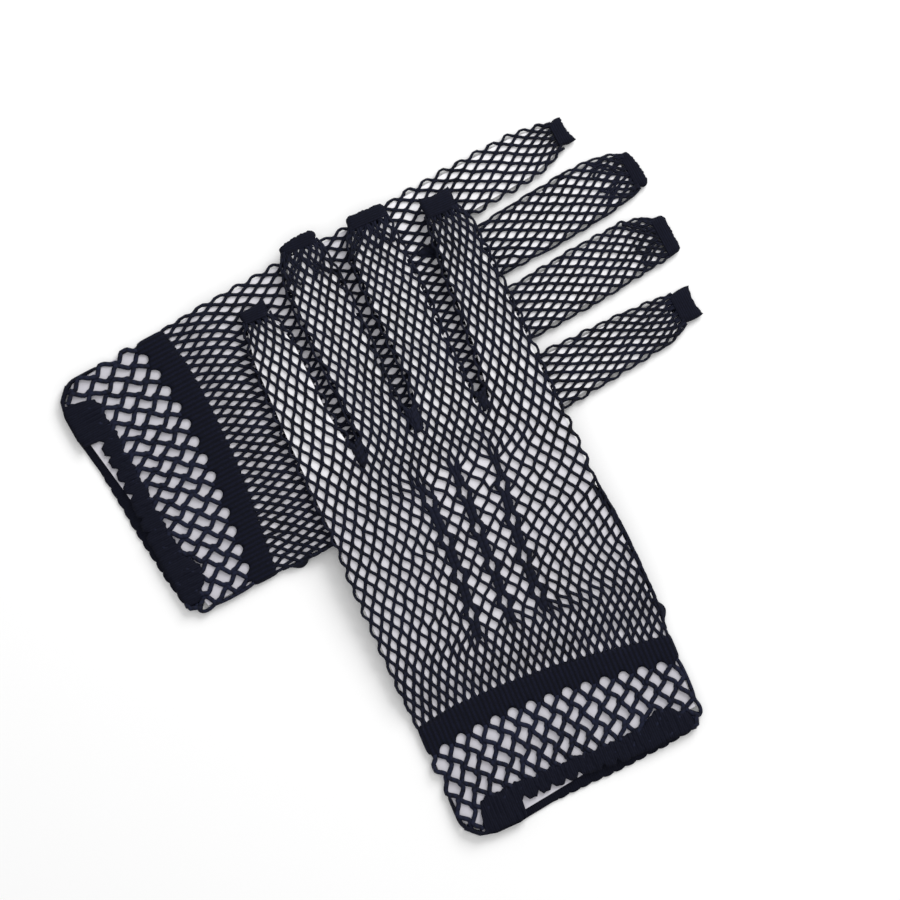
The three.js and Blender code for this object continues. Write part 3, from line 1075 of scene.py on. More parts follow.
@dataclass(frozen=True)
class FlatTube:
    """The section of a flattened tube of net: how its two layers turn into each other."""

    half_gap: float
    middle: float
    fold_width: float = 1.7

    def seat(self, u: Array, left: Array, right: Array, face: Face) -> tuple[Array, Array]:
        """Works out the height of a layer and the direction off it.

        Args:
            u: Places across.
            left: The left fold at each place, or a place far away where there is none.
            right: The right fold, in the same way.
            face: Which layer.

        Returns:
            Heights over the glove's underside, and normals.
        """
        inside = np.clip(np.minimum(u - left, right - u) / self.fold_width, 0, 1)
        cosine = 1 - inside
        sine = np.sqrt(1 - cosine**2)
        outward = np.where(u - left < right - u, -1.0, 1.0) * cosine
        normals = np.stack([outward, np.zeros_like(u), face.value * np.maximum(sine, 0.05)], -1)
        return self.middle + face.value * self.half_gap * sine, normals


# Further off than any place on a glove: where a fold lies that isn't there
FAR = 500.0


@dataclass
class HandNet:
    """The palm and four fingers: one fine net, and the net of the folded thumb.

    points_face is the layer that bears the decorative points. The fields named thumb_root are of
    the bulge at the side where the thumb leaves the palm, those named fold of the threads that
    bunch along the fold beside it, and those named doubled of the net knitted double under a cap.
    """

    side: str
    lie: Lie
    points_face: Face
    tube: FlatTube = FlatTube(half_gap=0.85, middle=THICKNESS / 2)
    weave: float = 0.13
    thumb_root_side: float = 45.9
    thumb_root_bow: float = 1.8
    thumb_root_rise: float = 1.4
    thumb_root_top: float = 14.5
    thumb_root_foot: float = 8.0
    fold_foot: float = 6.0
    fold_top: float = 62.0
    fold_step: float = 0.8
    fold_inset: float = 1.15
    fold_spread: float = 0.6
    fold_swing: float = 0.2
    fold_swing_pitch: float = 6.4
    doubled_row: float = 2.9
    doubled_columns: int = 8
    doubled_sides: tuple[float, float] = (0.04, 0.98)
    plain_knot_offset: float = 0.3
    plain_weave: float = 0.1

    def folds(self, finger: Finger, v: Array) -> tuple[Array, Array]:
        """Finds the folds beside a place: the hand's sides, and each finger's above the palm.

        Args:
            finger: The finger that the place is in, or that is above it.
            v: Places along the glove.

        Returns:
            Places of the left and the right fold.
        """
        own = ease(v, *ROOT_FOLDS)
        below = v < ROOT_FOLDS[0] - 1
        first, last = finger is FINGERS[0], finger is FINGERS[-1]
        palm_left = PALM.read("left", v) if first else -FAR
        palm_right = PALM.read("right", v) if last else FAR
        left, right = finger.outline.read("left", v), finger.outline.read("right", v)
        far_left = left - FAR * (1 - own) if not first else left
        far_right = right + FAR * (1 - own) if not last else right
        return np.where(below, palm_left, far_left), np.where(below, palm_right, far_right)

    def add_threads(
        self, mesh: TubeMesh, finger: Finger, threads: Array, rows: Array, face: Face
    ) -> None:
        """Lays some threads of one layer of a finger, or of the palm below it.

        Args:
            mesh: The tubes to add to.
            finger: The finger.
            threads: The threads, each by the half column on its left.
            rows: The rows of knots to join.
            face: Which layer.
        """
        yarn = FINE_YARN if face is Face.UPPER else HIDDEN_YARN
        plan = NetPlan(face, bunched=face is self.points_face, seed=7 + (face is Face.UPPER))
        across, along = plan.knots(finger, threads, rows)
        weave = weave_at(threads[:, None], rows[None, :], self.weave)
        u, v, off = draw_threads(across, along, yarn, weave)
        u = plan.open_eyes(u, v)
        left, right = self.folds(finger, v)
        margin = yarn.half_width - EDGE_BULGE * ease(v, *ROOT_FOLDS)
        u = np.clip(u, left + margin, right - margin)
        z, normals = self.tube.seat(u, left, right, face)
        points = np.stack([u, v, z], axis=-1) + off[..., None] * normals
        mesh.add(points, normals, yarn, FINE_WIDTH.read("factor", v))

    def add_side_threads(self, mesh: TubeMesh) -> None:
        """Lays the threads that run round the fold on the index side, up to the fold.

        Args:
            mesh: The tubes to add to.
        """
        plan = NetPlan(Face.UPPER, bunched=self.points_face is Face.UPPER)
        for thread in range(HALF_COLUMNS, BAND_HALF_COLUMNS):
            rows = np.arange(-1, PALM_ROWS)
            _, along = plan.knots(FINGERS[-1], np.array([thread]), rows)
            rows = rows[: np.count_nonzero(plan.fold_column(along[0]) > thread) + 1]
            if len(rows) > 1:
                self.add_threads(mesh, FINGERS[-1], np.array([thread]), rows, Face.UPPER)

    def add_crotch_darns(self, mesh: TubeMesh) -> None:
        """Lays the tangle of short threads that closes the net between two fingers.

        Args:
            mesh: The tubes to add to.
        """
        rng = np.random.default_rng(5)
        for crotch in CROTCHES:
            share = np.linspace(0, 1, crotch.points)
            width = crotch.half_width * (1 - crotch.narrowing * share)
            across, along, off = crotch.unevenness
            for face in Face:
                for side in np.linspace(-1, 1, crotch.threads):
                    u = crotch.middle + side * width + rng.normal(0, across, len(share))
                    v = crotch.top + (crotch.foot - crotch.top) * share
                    v = v + rng.normal(0, along) + crotch.sag * (1 - side**2) * (share - 1)
                    height = face.value * (crotch.height - crotch.fall * side**2)
                    z = self.tube.middle + height + rng.normal(0, off, len(share))
                    points = np.stack([u, v, z], axis=-1)
                    mesh.add(points, (0.0, 0.0, face.value), FINE_YARN, crotch.thickness)

    def add_fold_threads(self, mesh: TubeMesh) -> None:
        """Lays the threads that bunch along the index side's fold, where columns run round it.

        Args:
            mesh: The tubes to add to.
        """
        v = np.arange(self.fold_foot, self.fold_top, self.fold_step)
        side = PALM.read("right", v)
        for number in range(3):
            turn = math.pi * (0.25 + 0.25 * number)
            wave = np.sin(2 * math.pi * v / self.fold_swing_pitch + 2.1 * number)
            swing = self.fold_swing * wave
            u = side - self.fold_inset + self.fold_spread * math.sin(turn) + swing
            z = self.tube.middle + self.tube.half_gap * math.cos(turn) + 0.2 * swing
            points = np.stack([u, v, z], axis=-1)
            mesh.add(points, (math.sin(turn), 0.0, math.cos(turn)), FINE_YARN)

    def add_thumb_root(self, mesh: TubeMesh) -> None:
        """Lays the short bulging threads at the side, where the thumb's net leaves the palm.

        Args:
            mesh: The tubes to add to.
        """
        share = np.linspace(0, 1, 11)
        bulge = np.sin(math.pi * share)
        for bow in np.linspace(0.3, 1, 6):
            u = self.thumb_root_side + self.thumb_root_bow * bow * bulge
            v = self.thumb_root_top + (self.thumb_root_foot - self.thumb_root_top) * share
            z = self.tube.middle + self.thumb_root_rise * math.cos(math.pi * bow) * bulge
            mesh.add(np.stack([u, v, z], axis=-1), (1.0, 0.0, 0.0), FINE_YARN)

    def add_plain_net(
        self,
        mesh: TubeMesh,
        finger: Finger,
        tube: FlatTube,
        start: float,
        rows: int,
        shares: Array,
    ) -> None:
        """Lays both layers of an even net in a finger, from a place in it up to its end.

        Args:
            mesh: The tubes to add to.
            finger: The finger.
            tube: The section of the net.
            start: Where the net starts along the finger.
            rows: How many rows of knots follow.
            shares: The half columns, as shares of the finger's width.
        """
        threads = np.arange(len(shares) - 1)[:, None]
        count = np.arange(rows + 1)[None, :]
        column = threads + (count + threads) % 2
        along = start + (finger.end() + UNDER_CAP - start) * count / rows + 0 * column
        left, right = finger.outline.read("left", along), finger.outline.read("right", along)
        across = left + (right - left) * shares[column]
        across = across + self.plain_knot_offset * np.where(column == threads, 1, -1)
        weave = weave_at(threads, count, self.plain_weave)
        for face in Face:
            u, v, off = draw_threads(across, along, HIDDEN_YARN, weave)
            left, right = finger.outline.read("left", v), finger.outline.read("right", v)
            u = np.clip(u, left + HIDDEN_YARN.half_width, right - HIDDEN_YARN.half_width)
            z, normals = tube.seat(u, left, right, face)
            points = np.stack([u, v, z], axis=-1) + off[..., None] * normals
            mesh.add(points, normals, HIDDEN_YARN)

    def build_palm(self) -> bpy.types.Object:
        """Lays the net of the palm, from the band to the roots of the fingers.

        Returns:
            The net.
        """
        mesh = TubeMesh(self.lie)
        rows = np.arange(-1, PALM_ROWS + 1)
        for finger in FINGERS:
            for face in Face:
                threads = np.arange(finger.first, finger.last)
                self.add_threads(mesh, finger, threads, rows, face)
        self.add_side_threads(mesh)
        self.add_crotch_darns(mesh)
        self.add_fold_threads(mesh)
        self.add_thumb_root(mesh)
        return mesh.build(f"{self.side}_palm_threads")

    def build_fingers(self) -> bpy.types.Object:
        """Lays the nets of the four fingers, each a flat tube.

        Returns:
            The nets, as one object.
        """
        mesh = TubeMesh(self.lie)
        for finger in FINGERS:
            rows = np.arange(PALM_ROWS, PALM_ROWS + finger.rows + 1)
            for face in Face:
                threads = np.arange(finger.first, finger.last)
                self.add_threads(mesh, finger, threads, rows, face)
            if finger.doubled:
                start = finger.end() - finger.doubled
                rows = round(finger.doubled / self.doubled_row)
                shares = np.linspace(*self.doubled_sides, self.doubled_columns)
                self.add_plain_net(mesh, finger, self.tube, start, rows, shares)
        return mesh.build(f"{self.side}_finger_threads")

    def build_thumb(self) -> bpy.types.Object:
        """Lays the net of the thumb, folded flat under the palm.

        Returns:
            The net.
        """
        mesh = TubeMesh(self.lie)
        tube = FlatTube(half_gap=0.65, middle=THUMB_MIDDLE, fold_width=1.2)
        start = THUMB.outline.rows[0][0]
        shares = THUMB.columns(np.arange(THUMB.last + 1))
        self.add_plain_net(mesh, THUMB, tube, start, THUMB.rows, shares)
        return mesh.build(f"{self.side}_thumb_threads")

    def dress(self) -> None:
        """Builds and dresses the hand's nets."""
        dress(self.build_palm(), YARN_FINISH, Slot.NET, f"{self.side}_hand_net")
        dress(self.build_fingers(), YARN_FINISH, Slot.NET, f"{self.side}_hand_net")
        dress(self.build_thumb(), YARN_FINISH, Slot.NET, f"{self.side}_thumb_net")


@dataclass(frozen=True)
class Loop:
    """A flattened loop round the wrist: two flats and two half-round folds."""

    left: float
    right: float
    thickness: float

    def places(self, count: int) -> dict[str, Array]:
        """Walks round the loop in equal steps, over the upper layer first.

        Args:
            count: How many steps.

        Returns:
            For each step its place across, height, outward direction and run along the loop.
        """
        radius = self.thickness / 2
        flat = self.right - self.left - self.thickness
        turn = math.pi * radius
        run = np.arange(count) / count * 2 * (flat + turn)
        u, z = np.empty(count), np.empty(count)
        out_u, out_z = np.empty(count), np.empty(count)
        upper = run < flat
        right = (run >= flat) & (run < flat + turn)
        lower = (run >= flat + turn) & (run < 2 * flat + turn)
        left = run >= 2 * flat + turn
        u[upper], z[upper] = self.left + radius + run[upper], self.thickness
        out_u[upper], out_z[upper] = 0, 1
        u[lower], z[lower] = self.right - radius - (run[lower] - flat - turn), 0
        out_u[lower], out_z[lower] = 0, -1
        for part, start, centre, sign in (
            (right, flat, self.right - radius, 1), (left, 2 * flat + turn, self.left + radius, -1),
        ):
            angle = (run[part] - start) / radius
            out_u[part], out_z[part] = sign * np.sin(angle), sign * np.cos(angle)
            u[part], z[part] = centre + radius * out_u[part], radius + radius * out_z[part]
        return {"u": u, "z": z, "out_u": out_u, "out_z": out_z, "run": run}

    def length(self) -> float:
        """The length once round the loop."""
        return 2 * (self.right - self.left - self.thickness) + math.pi * self.thickness


# How far the outside of a band draws in at its upper and lower edge
EDGE_ROUNDING = 0.45


def build_ring(
    name: str, lie: Lie, places: dict[str, Array], top: Array, foot: Array, relief: Array, rows: int
) -> bpy.types.Object:
    """Makes a closed wall round a loop, with relief on its outside.

    Args:
        name: The object's name.
        lie: Where the glove lies.
        places: The walk round the loop.
        top: The upper edge at each place.
        foot: The lower edge at each place.
        relief: How far the outside stands out, for each place and row.
        rows: How many rows the outside has.

    Returns:
        The new object.
    """
    outside = np.linspace(0, 1, rows)
    inside = 0.02 + 0.96 * np.array([1.0, 0.5, 0.0])
    v = top[:, None] + (foot - top)[:, None] * np.concatenate([outside, inside])
    lift = relief - EDGE_ROUNDING * np.abs(2 * outside - 1) ** 6
    lift = np.concatenate([lift, np.full((len(top), len(inside)), -WALL)], axis=1)
    u = places["u"][:, None] + lift * places["out_u"][:, None]
    z = places["z"][:, None] + lift * places["out_z"][:, None]
    points = lie.to_row(np.stack([u, v, z], axis=-1))
    count, around = v.shape
    index = np.arange(count * around).reshape(count, around)
    ahead, beside = np.roll(index, -1, axis=0), np.roll(index, -1, axis=1)
    both = np.roll(ahead, -1, axis=1)
    faces = np.stack([index, beside, both, ahead], axis=-1).reshape(-1, 4)
    run = np.concatenate([places["run"], [places["run"][-1] * 2 - places["run"][-2]]])
    run_here, run_ahead = run[:-1, None] + 0 * v, run[1:, None] + 0 * v
    v_beside = np.roll(v, -1, axis=1)
    corners = [(run_here, v), (run_here, v_beside), (run_ahead, v_beside), (run_ahead, v)]
    uvs = np.stack([np.stack(corner, axis=-1) for corner in corners], axis=-2).reshape(-1, 2)
    return object_from_faces(name, points.reshape(-1, 3), faces.tolist(), uvs)


# The coarse net of the cuff: its pitch, the place of its first column and its half columns
CELL_PITCH = 6.86
CELL_START = -50.5
CUFF_HALF_COLUMNS = 28


@dataclass
class WristBand:
    """The dense ribbed band, whose lower edge is scalloped by the cuff's first cells."""

    side: str
    lie: Lie
    loop: Loop = Loop(-50, 46, THICKNESS)
    rib_pitch: float = 1.7
    rib_height: float = 0.22
    arch_half_width: float = 2.1
    arch_height: float = 2.9
    arch_top: float = 0.4
    top_wave: float = 0.25
    steps_a_rib: int = 4
    rows: int = 9

    def dress(self) -> None:
        """Builds and dresses the band, with ribs that are left out where it lies on the table."""
        ribs = round(self.loop.length() / self.rib_pitch)
        places = self.loop.places(ribs * self.steps_a_rib)
        u = places["u"]
        wave = np.cos(2 * math.pi * np.arange(len(u)) / self.steps_a_rib)
        top = BAND_EDGES.read("top", u) + self.top_wave * wave
        from_cell = ((u - CELL_START) / CELL_PITCH + 0.5) % 1 - 0.5
        arch = np.sqrt(np.clip(1 - (from_cell * CELL_PITCH / self.arch_half_width) ** 2, 0, 1))
        foot = BAND_EDGES.read("foot", u) + self.arch_top - self.arch_height * (1 - arch)
        rib = 0.5 + 0.5 * wave
        ribbed = np.where(places["out_z"] < -0.5, 0.0, 1.0)
        relief = (self.rib_height * (rib - 1) * ribbed)[:, None] + np.zeros(self.rows)
        band = build_ring(
            f"{self.side}_rib_band", self.lie, places, top, foot, relief, self.rows
        )
        dress(band, RIB_FINISH, Slot.RIB, f"{self.side}_wrist_band")


@dataclass
class CuffNet:
    """The coarse net between the band and the hem. Its cells lean to one side and the other."""

    side: str
    lie: Lie
    left: float = -50.2
    right: float = 45.6
    plan: Table = Table(
        ("u", "step", "drift"),
        (
            (-45, 4.55, 0.3), (-23, 4.38, 0.2), (-16, 4.4, 0), (-3, 4.33, -0.38),
            (11, 4.25, -0.62), (30, 4.12, -0.77), (40, 4.05, -0.6), (46, 4.3, -0.2),
        ),
    )
    first_row: float = 1.1
    rows: int = 6
    corner_threads: int = 3
    knot_offset: float = 0.52
    unevenness: float = 0.16
    most_knots: tuple[int, int] = (40, 12)
    weave: float = 0.3
    hem_cover: float = 1.0
    under_hem: float = 0.06
    corner_lift: float = 3.0
    corner_from: tuple[float, float] = (42.2, 43.4)
    selvedge: tuple[tuple[float, float], ...] = (
        (44.6, -6.4), (45.2, -9), (45.4, -13), (45.4, -19.5), (44.8, -22.4), (45.7, -25),
        (45.4, -27.4), (44.2, -28.4), (41.4, -28.2),
    )
    selvedge_width: float = 0.8
    selvedge_height: float = 0.6
    sway: float = 1.05
    cord: Yarn = Yarn(
        0.84, 0.62, 8,
        tuple(step / 8 for step in range(8)),
        (0, 0.05, 0.15, 0.32, 0.54, 0.76, 0.91, 0.98),
    )
    tube: FlatTube = FlatTube(half_gap=0.9, middle=THICKNESS / 2, fold_width=1.8)

    def knots(self, threads: Array, rows: int, seed: int) -> tuple[Array, Array, Array]:
        """The places of the knots of threads.

        Args:
            threads: The threads, each by the half column on its left.
            rows: How many rows the threads run down.
            seed: Of the unevenness.

        Returns:
            Places across and along, and the weave at each knot.
        """
        threads, count = threads[:, None], np.arange(rows + 1)[None, :]
        column = threads + (count + threads + 1) % 2
        level = CELL_START + CELL_PITCH / 2 * column
        along = BAND_EDGES.read("foot", level) - self.first_row
        along = along - self.plan.read("step", level) * count
        across = level + self.plan.read("drift", level) * count
        rng = np.random.default_rng(seed)
        wobble = rng.normal(0, self.unevenness, (2, *self.most_knots))[:, column, count]
        wobble[:, :, 0] = 0
        shift = self.knot_offset * np.where(column == threads, 1, -1)
        weave = weave_at(threads, count, self.weave)
        return across + shift + wobble[0], along + wobble[1], weave

    def draw(
        self, across: Array, along: Array, weave: Array, threads: Array
    ) -> tuple[Array, ...]:
        """Draws the cords, which turn sharply on their left and roundly on their right.

        Args:
            across: Places of the knots across, a row for each thread.
            along: Places of the knots along.
            weave: How far off the cloth each cord passes at each knot.
            threads: The threads, each by the half column on its left.

        Returns:
            Places across, along and off the cloth.
        """
        ahead = np.array(self.cord.crossing)
        back = np.concatenate([[0], 1 - ahead[:0:-1]])
        pieces = []
        for row in range(across.shape[1] - 1):
            goes_right = ((row + threads) % 2 == 1)[:, None]
            share = np.where(goes_right, ahead, back)
            start, step = across[:, row, None], (across[:, row + 1] - across[:, row])[:, None]
            swing = self.sway * (row % 2) * np.sin(math.pi * np.array(self.cord.steps))
            pieces.append(start + step * share + swing)
        u = np.concatenate([*pieces, across[:, -1:]], axis=1)
        _, v, off = draw_threads(across, along, self.cord, weave)
        return u, v, off

    def dress(self) -> None:
        """Builds and dresses the cuff's net, whose cords end under the hem."""
        mesh = TubeMesh(self.lie)
        threads = np.arange(CUFF_HALF_COLUMNS)
        corner, others = threads[: self.corner_threads], threads[self.corner_threads :]
        for face, seed in ((Face.UPPER, 3), (Face.LOWER, 4)):
            for group, rows in ((corner, self.rows + 1), (others, self.rows)):
                across, along, weave = self.knots(group, rows, seed)
                u, v, off = self.draw(across, along, weave, group)
                u = np.clip(u, self.left + self.cord.half_width, self.right - self.cord.half_width)
                edge = HEM_FOOT.read("back", u) + self.hem_cover
                edge = edge + self.corner_lift * ease(u, *self.corner_from)
                v = np.maximum(v, edge + self.under_hem * (v - edge))
                z, normals = self.tube.seat(u, self.left + 0 * u, self.right + 0 * u, face)
                points = np.stack([u, v, z], axis=-1) + off[..., None] * normals
                points[..., 2] = np.clip(points[..., 2], self.cord.half_depth, THICKNESS)
                mesh.add(points, normals, self.cord)
            u, v = smooth_route(self.selvedge).T
            height = self.selvedge_height * face.value * self.tube.half_gap
            points = np.stack([u, v, np.full_like(u, self.tube.middle + height)], axis=-1)
            mesh.add(points, (0.0, 0.0, face.value), self.cord, self.selvedge_width)
        net = mesh.build(f"{self.side}_cuff_cords")
        dress(net, CORD_FINISH, Slot.NET, f"{self.side}_cuff_net")


HEM_TOP = Table(
    ("u", "v"),
    (
        (-50, -19.4), (-49, -20), (-48.3, -30.3), (-46.4, -33), (-44, -35.5),
        (-41.6, -36.8), (-40.6, -30), (-39.2, -26.4), (-37, -25.2), (18, -24.8), (25, -23.4),
        (29, -21.2), (35, -21.2), (39, -24.4), (43, -28.4),
    ),
)
HEM_FOOT = Table(
    ("u", "front", "back"),
    (
        (-50, -30.6, -30.6), (-48.6, -32.4, -32.4), (-46.4, -35, -35), (-44, -37.2, -37.3),
        (-38, -38.6, -38.8), (-29, -38.4, -38.8), (-25.6, -37.6, -38.3), (-25.2, -32, -38.2),
        (-20, -32.2, -37.5), (-10, -32, -36), (0, -31.9, -35.5), (10, -33, -35.2),
        (30, -32.8, -33.6), (43, -31.6, -31.8),
    ),
)
# Between the picots of the front edge, where the card shows
NOTCHES = (-24, -18.5, -13.3, -8, -3, 6, 11.5)


@dataclass
class Frill:
    """The hem: a dense gathered ruffle with picots on its edge.

    ruffles and gathers are waves, each by its pitch and its height. The ruffles bend the edges
    and the gathers are the folds in the outside. Left of strip_end the hem is a plain strip.
    """

    side: str
    lie: Lie
    loop: Loop = Loop(-49.4, 42.0, 3.6)
    step: float = 0.32
    rows: int = 10
    ruffles: tuple[tuple[float, float], ...] = ((11.0, 0.5), (4.7, 0.35), (2.3, 0.25))
    gathers: tuple[tuple[float, float], ...] = ((1.27, 0.13), (1.9, 0.15), (3.1, 0.16))
    strip_end: float = -41.0
    notch_half_width: float = 1.3
    notch_height: float = 1.9
    mouth_from: tuple[float, float] = (-27, -24)
    picot: float = 4.4
    picot_height: float = 0.7
    picots_from: tuple[float, float] = (-16, -11)

    def edges(self, u: Array, upper: Array, wave: Array) -> tuple[Array, Array]:
        """Works out the frill's upper and lower edge.

        Args:
            u: Places across the glove.
            upper: Whether each place is on the upper layer.
            wave: How far the ruffles bend the edges.

        Returns:
            Places of both edges along the glove.
        """
        top = HEM_TOP.read("v", u) + 0.8 * wave + 0.2
        from_notch = np.min(np.abs(u[:, None] - np.array(NOTCHES)), axis=1)
        notch = self.notch_height * np.clip(1 - from_notch / self.notch_half_width, 0, 1)
        front = HEM_FOOT.read("front", u) + notch + 0.3 * wave * ease(u, *self.mouth_from)
        scallop = np.sqrt(np.clip(1 - (2 * ((u / self.picot) % 1) - 1) ** 2, 0, 1))
        edged = ease(u, *self.picots_from)
        back = HEM_FOOT.read("back", u) + 0.3 + edged * (0.1 * wave - self.picot_height * scallop)
        return top, np.where(upper, front, back)

    def dress(self) -> None:
        """Builds and dresses the frill, which is smooth where it lies on the table."""
        count = round(self.loop.length() / self.step)
        places = self.loop.places(count)
        u, run = places["u"], places["run"]
        rng = np.random.default_rng(11)
        ruffled = ease(u, self.strip_end - 1, self.strip_end + 1)
        wave = np.zeros(count)
        for pitch, height in self.ruffles:
            wave += height * np.sin(2 * math.pi * run / pitch + rng.uniform(0, 2 * math.pi))
        top, foot = self.edges(u, places["out_z"] > 0, wave * ruffled)
        relief = np.full((count, self.rows), -0.2)
        for pitch, height in self.gathers:
            bend = rng.normal(0, 1.6, self.rows).cumsum() + rng.uniform(0, 2 * math.pi)
            drift = 1.7 * np.sin(2 * math.pi * run / (7 * pitch))[:, None] + bend
            swell = 0.6 + 0.4 * np.sin(2 * math.pi * run / (5 * pitch))[:, None]
            relief += height * swell * np.sin(2 * math.pi * run[:, None] / pitch + drift)
        off_table = np.where(places["out_z"] < 0, 0.0, 1.0)
        relief = relief * (off_table * ruffled)[:, None]
        frill = build_ring(f"{self.side}_frill", self.lie, places, top, foot, relief, self.rows)
        dress(frill, FRILL_FINISH, Slot.RIB, f"{self.side}_hem")


@dataclass
class FingerCap:
    """The dense knitted end of a finger, pressed flat."""

    side: str
    lie: Lie
    finger: Finger
    thickness: float
    middle: float
    roughness: float = 0.12
    cuts: int = 16
    over_net: float = 0.5
    past_net: float = 0.3
    ridge_pitch: float = 0.9
    ridge_height: float = 0.04

    def build(self) -> bpy.types.Object:
        """Models the cap from a block that is cut up, then pressed into the cap's outline.

        Returns:
            The cap.
        """
        bpy.ops.object.select_all(action="DESELECT")
        bpy.ops.mesh.primitive_cube_add(size=1)
        cap = bpy.context.object
        cap.name = f"{self.side}_{self.finger.name}_cap"
        bpy.ops.object.mode_set(mode="EDIT")
        bpy.ops.mesh.select_all(action="SELECT")
        bpy.ops.mesh.subdivide(number_cuts=self.cuts)
        bpy.ops.object.mode_set(mode="OBJECT")
        shape = self.finger.cap
        local = np.array([vertex.co for vertex in cap.data.vertices], float)
        across, along = local[:, 0] * 2, local[:, 1] + 0.5
        half = (shape.right - shape.left) / 2
        width = 1 - shape.waist * (1 - ease(along, 0.1, 0.55))
        width = width - shape.corner / half * np.clip((along - 0.55) / 0.45, 0, 1) ** 3
        u = (shape.left + shape.right) / 2 + across * half * width
        start = self.finger.end() - self.over_net
        reach = shape.length + self.over_net + self.past_net - shape.lean * (1 - across) / 2
        v = start + along * reach - shape.hollow * along * (1 - across**2)
        edge = self.roughness * along**6
        v = v + edge * (np.sin(2 * math.pi * u / 1.3) + np.sin(2 * math.pi * u / 0.83 + 1))
        round_side = np.sqrt(np.clip(1 - 0.92 * across**8, 0, 1))
        round_end = np.sqrt(np.clip(1 - 0.75 * np.abs(along) ** 6, 0, 1))
        ridge = 1 + self.ridge_height * np.cos(2 * math.pi * (v + 0.2 * u) / self.ridge_pitch)
        z = self.middle + local[:, 2] * self.thickness * round_side * round_end * ridge
        points = self.lie.to_row(np.stack([u, v, z], axis=-1))
        cap.data.vertices.foreach_set("co", points.astype(np.float32).ravel())
        layer = cap.data.uv_layers.active
        layer.name = "Cloth"
        corner = np.array([loop.vertex_index for loop in cap.data.loops])
        layer.data.foreach_set("uv", np.stack([v, u], axis=-1)[corner].astype(np.float32).ravel())
        cap.data.polygons.foreach_set("use_smooth", np.ones(len(cap.data.polygons), bool))
        cap.data.update()
        return cap

    def dress(self) -> None:
        """Builds and dresses the cap."""
        dress(self.build(), FRILL_FINISH, Slot.RIB, f"{self.side}_{self.finger.name}_tip")


@dataclass
class StitchedPoint:
    """One decorative point: two cords that part round each eye and close between them."""

    side: str
    lie: Lie
    point: PointLine
    face: Face
    cord: Yarn = Yarn(0.96, 0.4, 8)
    step: float = 0.6
    closed: float = 0.8
    opened: float = 2.0
    sunk: float = 0.85
    taper: float = 3.0
    twist_pitch: float = 2.4
    twist_height: float = 0.12

    def dress(self) -> None:
        """Builds and dresses the point, whose cords sink into the net and taper at both ends."""
        line = self.point.line
        first, last = line.rows[0][0], line.rows[-1][0]
        v = np.arange(first, last + self.step, self.step)
        offset = self.closed + (self.opened - self.closed) * self.point.parted(v)
        seat = THICKNESS - self.sunk + self.cord.half_depth
        middle = seat if self.face is Face.UPPER else THICKNESS - seat
        start, end = ease(v, first, first + self.taper), ease(v, last - self.taper, last)
        width = 0.35 + 0.65 * np.minimum(start, 1 - end)
        mesh = TubeMesh(self.lie)
        for sign in (-1, 1):
            wave = self.twist_height * np.sin(2 * math.pi * v / self.twist_pitch + sign)
            u = line.read("u", v) + sign * offset + wave
            points = np.stack([u, v, middle + 0 * v + 0.1 * sign], axis=-1)
            mesh.add(points, (0.0, 0.0, self.face.value), self.cord, width)
        cords = mesh.build(f"{self.side}_stitches_{self.point.name}")
        dress(cords, YARN_FINISH, Slot.NET, f"{self.side}_point_{self.point.name}")


@dataclass
class CardSheet:
    """The packing card: its solid, with the foot drawn out into the cuff's corners.

    corners lists each corner of the solid by its place across and along the glove, and then the
    place that it moves to. reach is how close to it a vertex counts as that corner.
    """

    side: str
    lie: Lie
    corners: tuple[tuple[float, float, float, float], ...] = (
        (-36, -36.66, -41.5, -37.2),
        (-48.35, -22, -47.6, -30.6),
        (44.35, -22, 44.3, -24.8),
    )
    reach: float = 0.8
    merge_distance: float = 0.001

    def build(self) -> bpy.types.Object:
        """Copies the solid, merges its loose triangles and moves the corners.

        Returns:
            The card.
        """
        sheet = bmesh.new()
        sheet.from_mesh(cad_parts[f"{self.side}_card"].data)
        bmesh.ops.remove_doubles(sheet, verts=sheet.verts, dist=self.merge_distance * MM)
        for vertex in sheet.verts:
            u, v = self.lie.from_row(vertex.co)
            for old_u, old_v, new_u, new_v in self.corners:
                if math.hypot(u - old_u, v - old_v) < self.reach:
                    step = self.lie.turn_only(np.array([new_u - old_u, new_v - old_v, 0.0]))
                    vertex.co += Vector(step * MM)
        mesh = bpy.data.meshes.new(f"{self.side}_card_sheet")
        sheet.to_mesh(mesh)
        sheet.free()
        piece = bpy.data.objects.new(mesh.name, mesh)
        bpy.context.scene.collection.objects.link(piece)
        return piece

    def dress(self) -> None:
        """Builds and dresses the card."""
        finish = PackingCard(f"pale_packing_card_{self.side}", self.lie.turn, self.lie.origin)
        dress(self.build(), finish, Slot.CARD, f"{self.side}_card")


@dataclass
class Glove:
    """One whole glove round its card."""

    side: str
    lie: Lie
    points_face: Face
    cap_thickness: float = THICKNESS - 0.4

    def parts(self) -> list:
        """Lists the glove's sub-assemblies, in the order in which they are made.

        Returns:
            The sub-assemblies, each with a method named dress.
        """
        side, lie = self.side, self.lie
        caps = [
            FingerCap(side, lie, finger, self.cap_thickness, THICKNESS / 2) for finger in FINGERS
        ]
        return [
            CardSheet(side, lie),
            HandNet(side, lie, self.points_face),
            WristBand(side, lie),
            CuffNet(side, lie),
            Frill(side, lie),
            *caps,
            FingerCap(side, lie, THUMB, THUMB_THICKNESS, THUMB_MIDDLE),
            *(StitchedPoint(side, lie, point, self.points_face) for point in POINTS),
        ]

    def dress(self) -> None:
        """Builds and dresses every part."""
        for part in self.parts():
            part.dress()


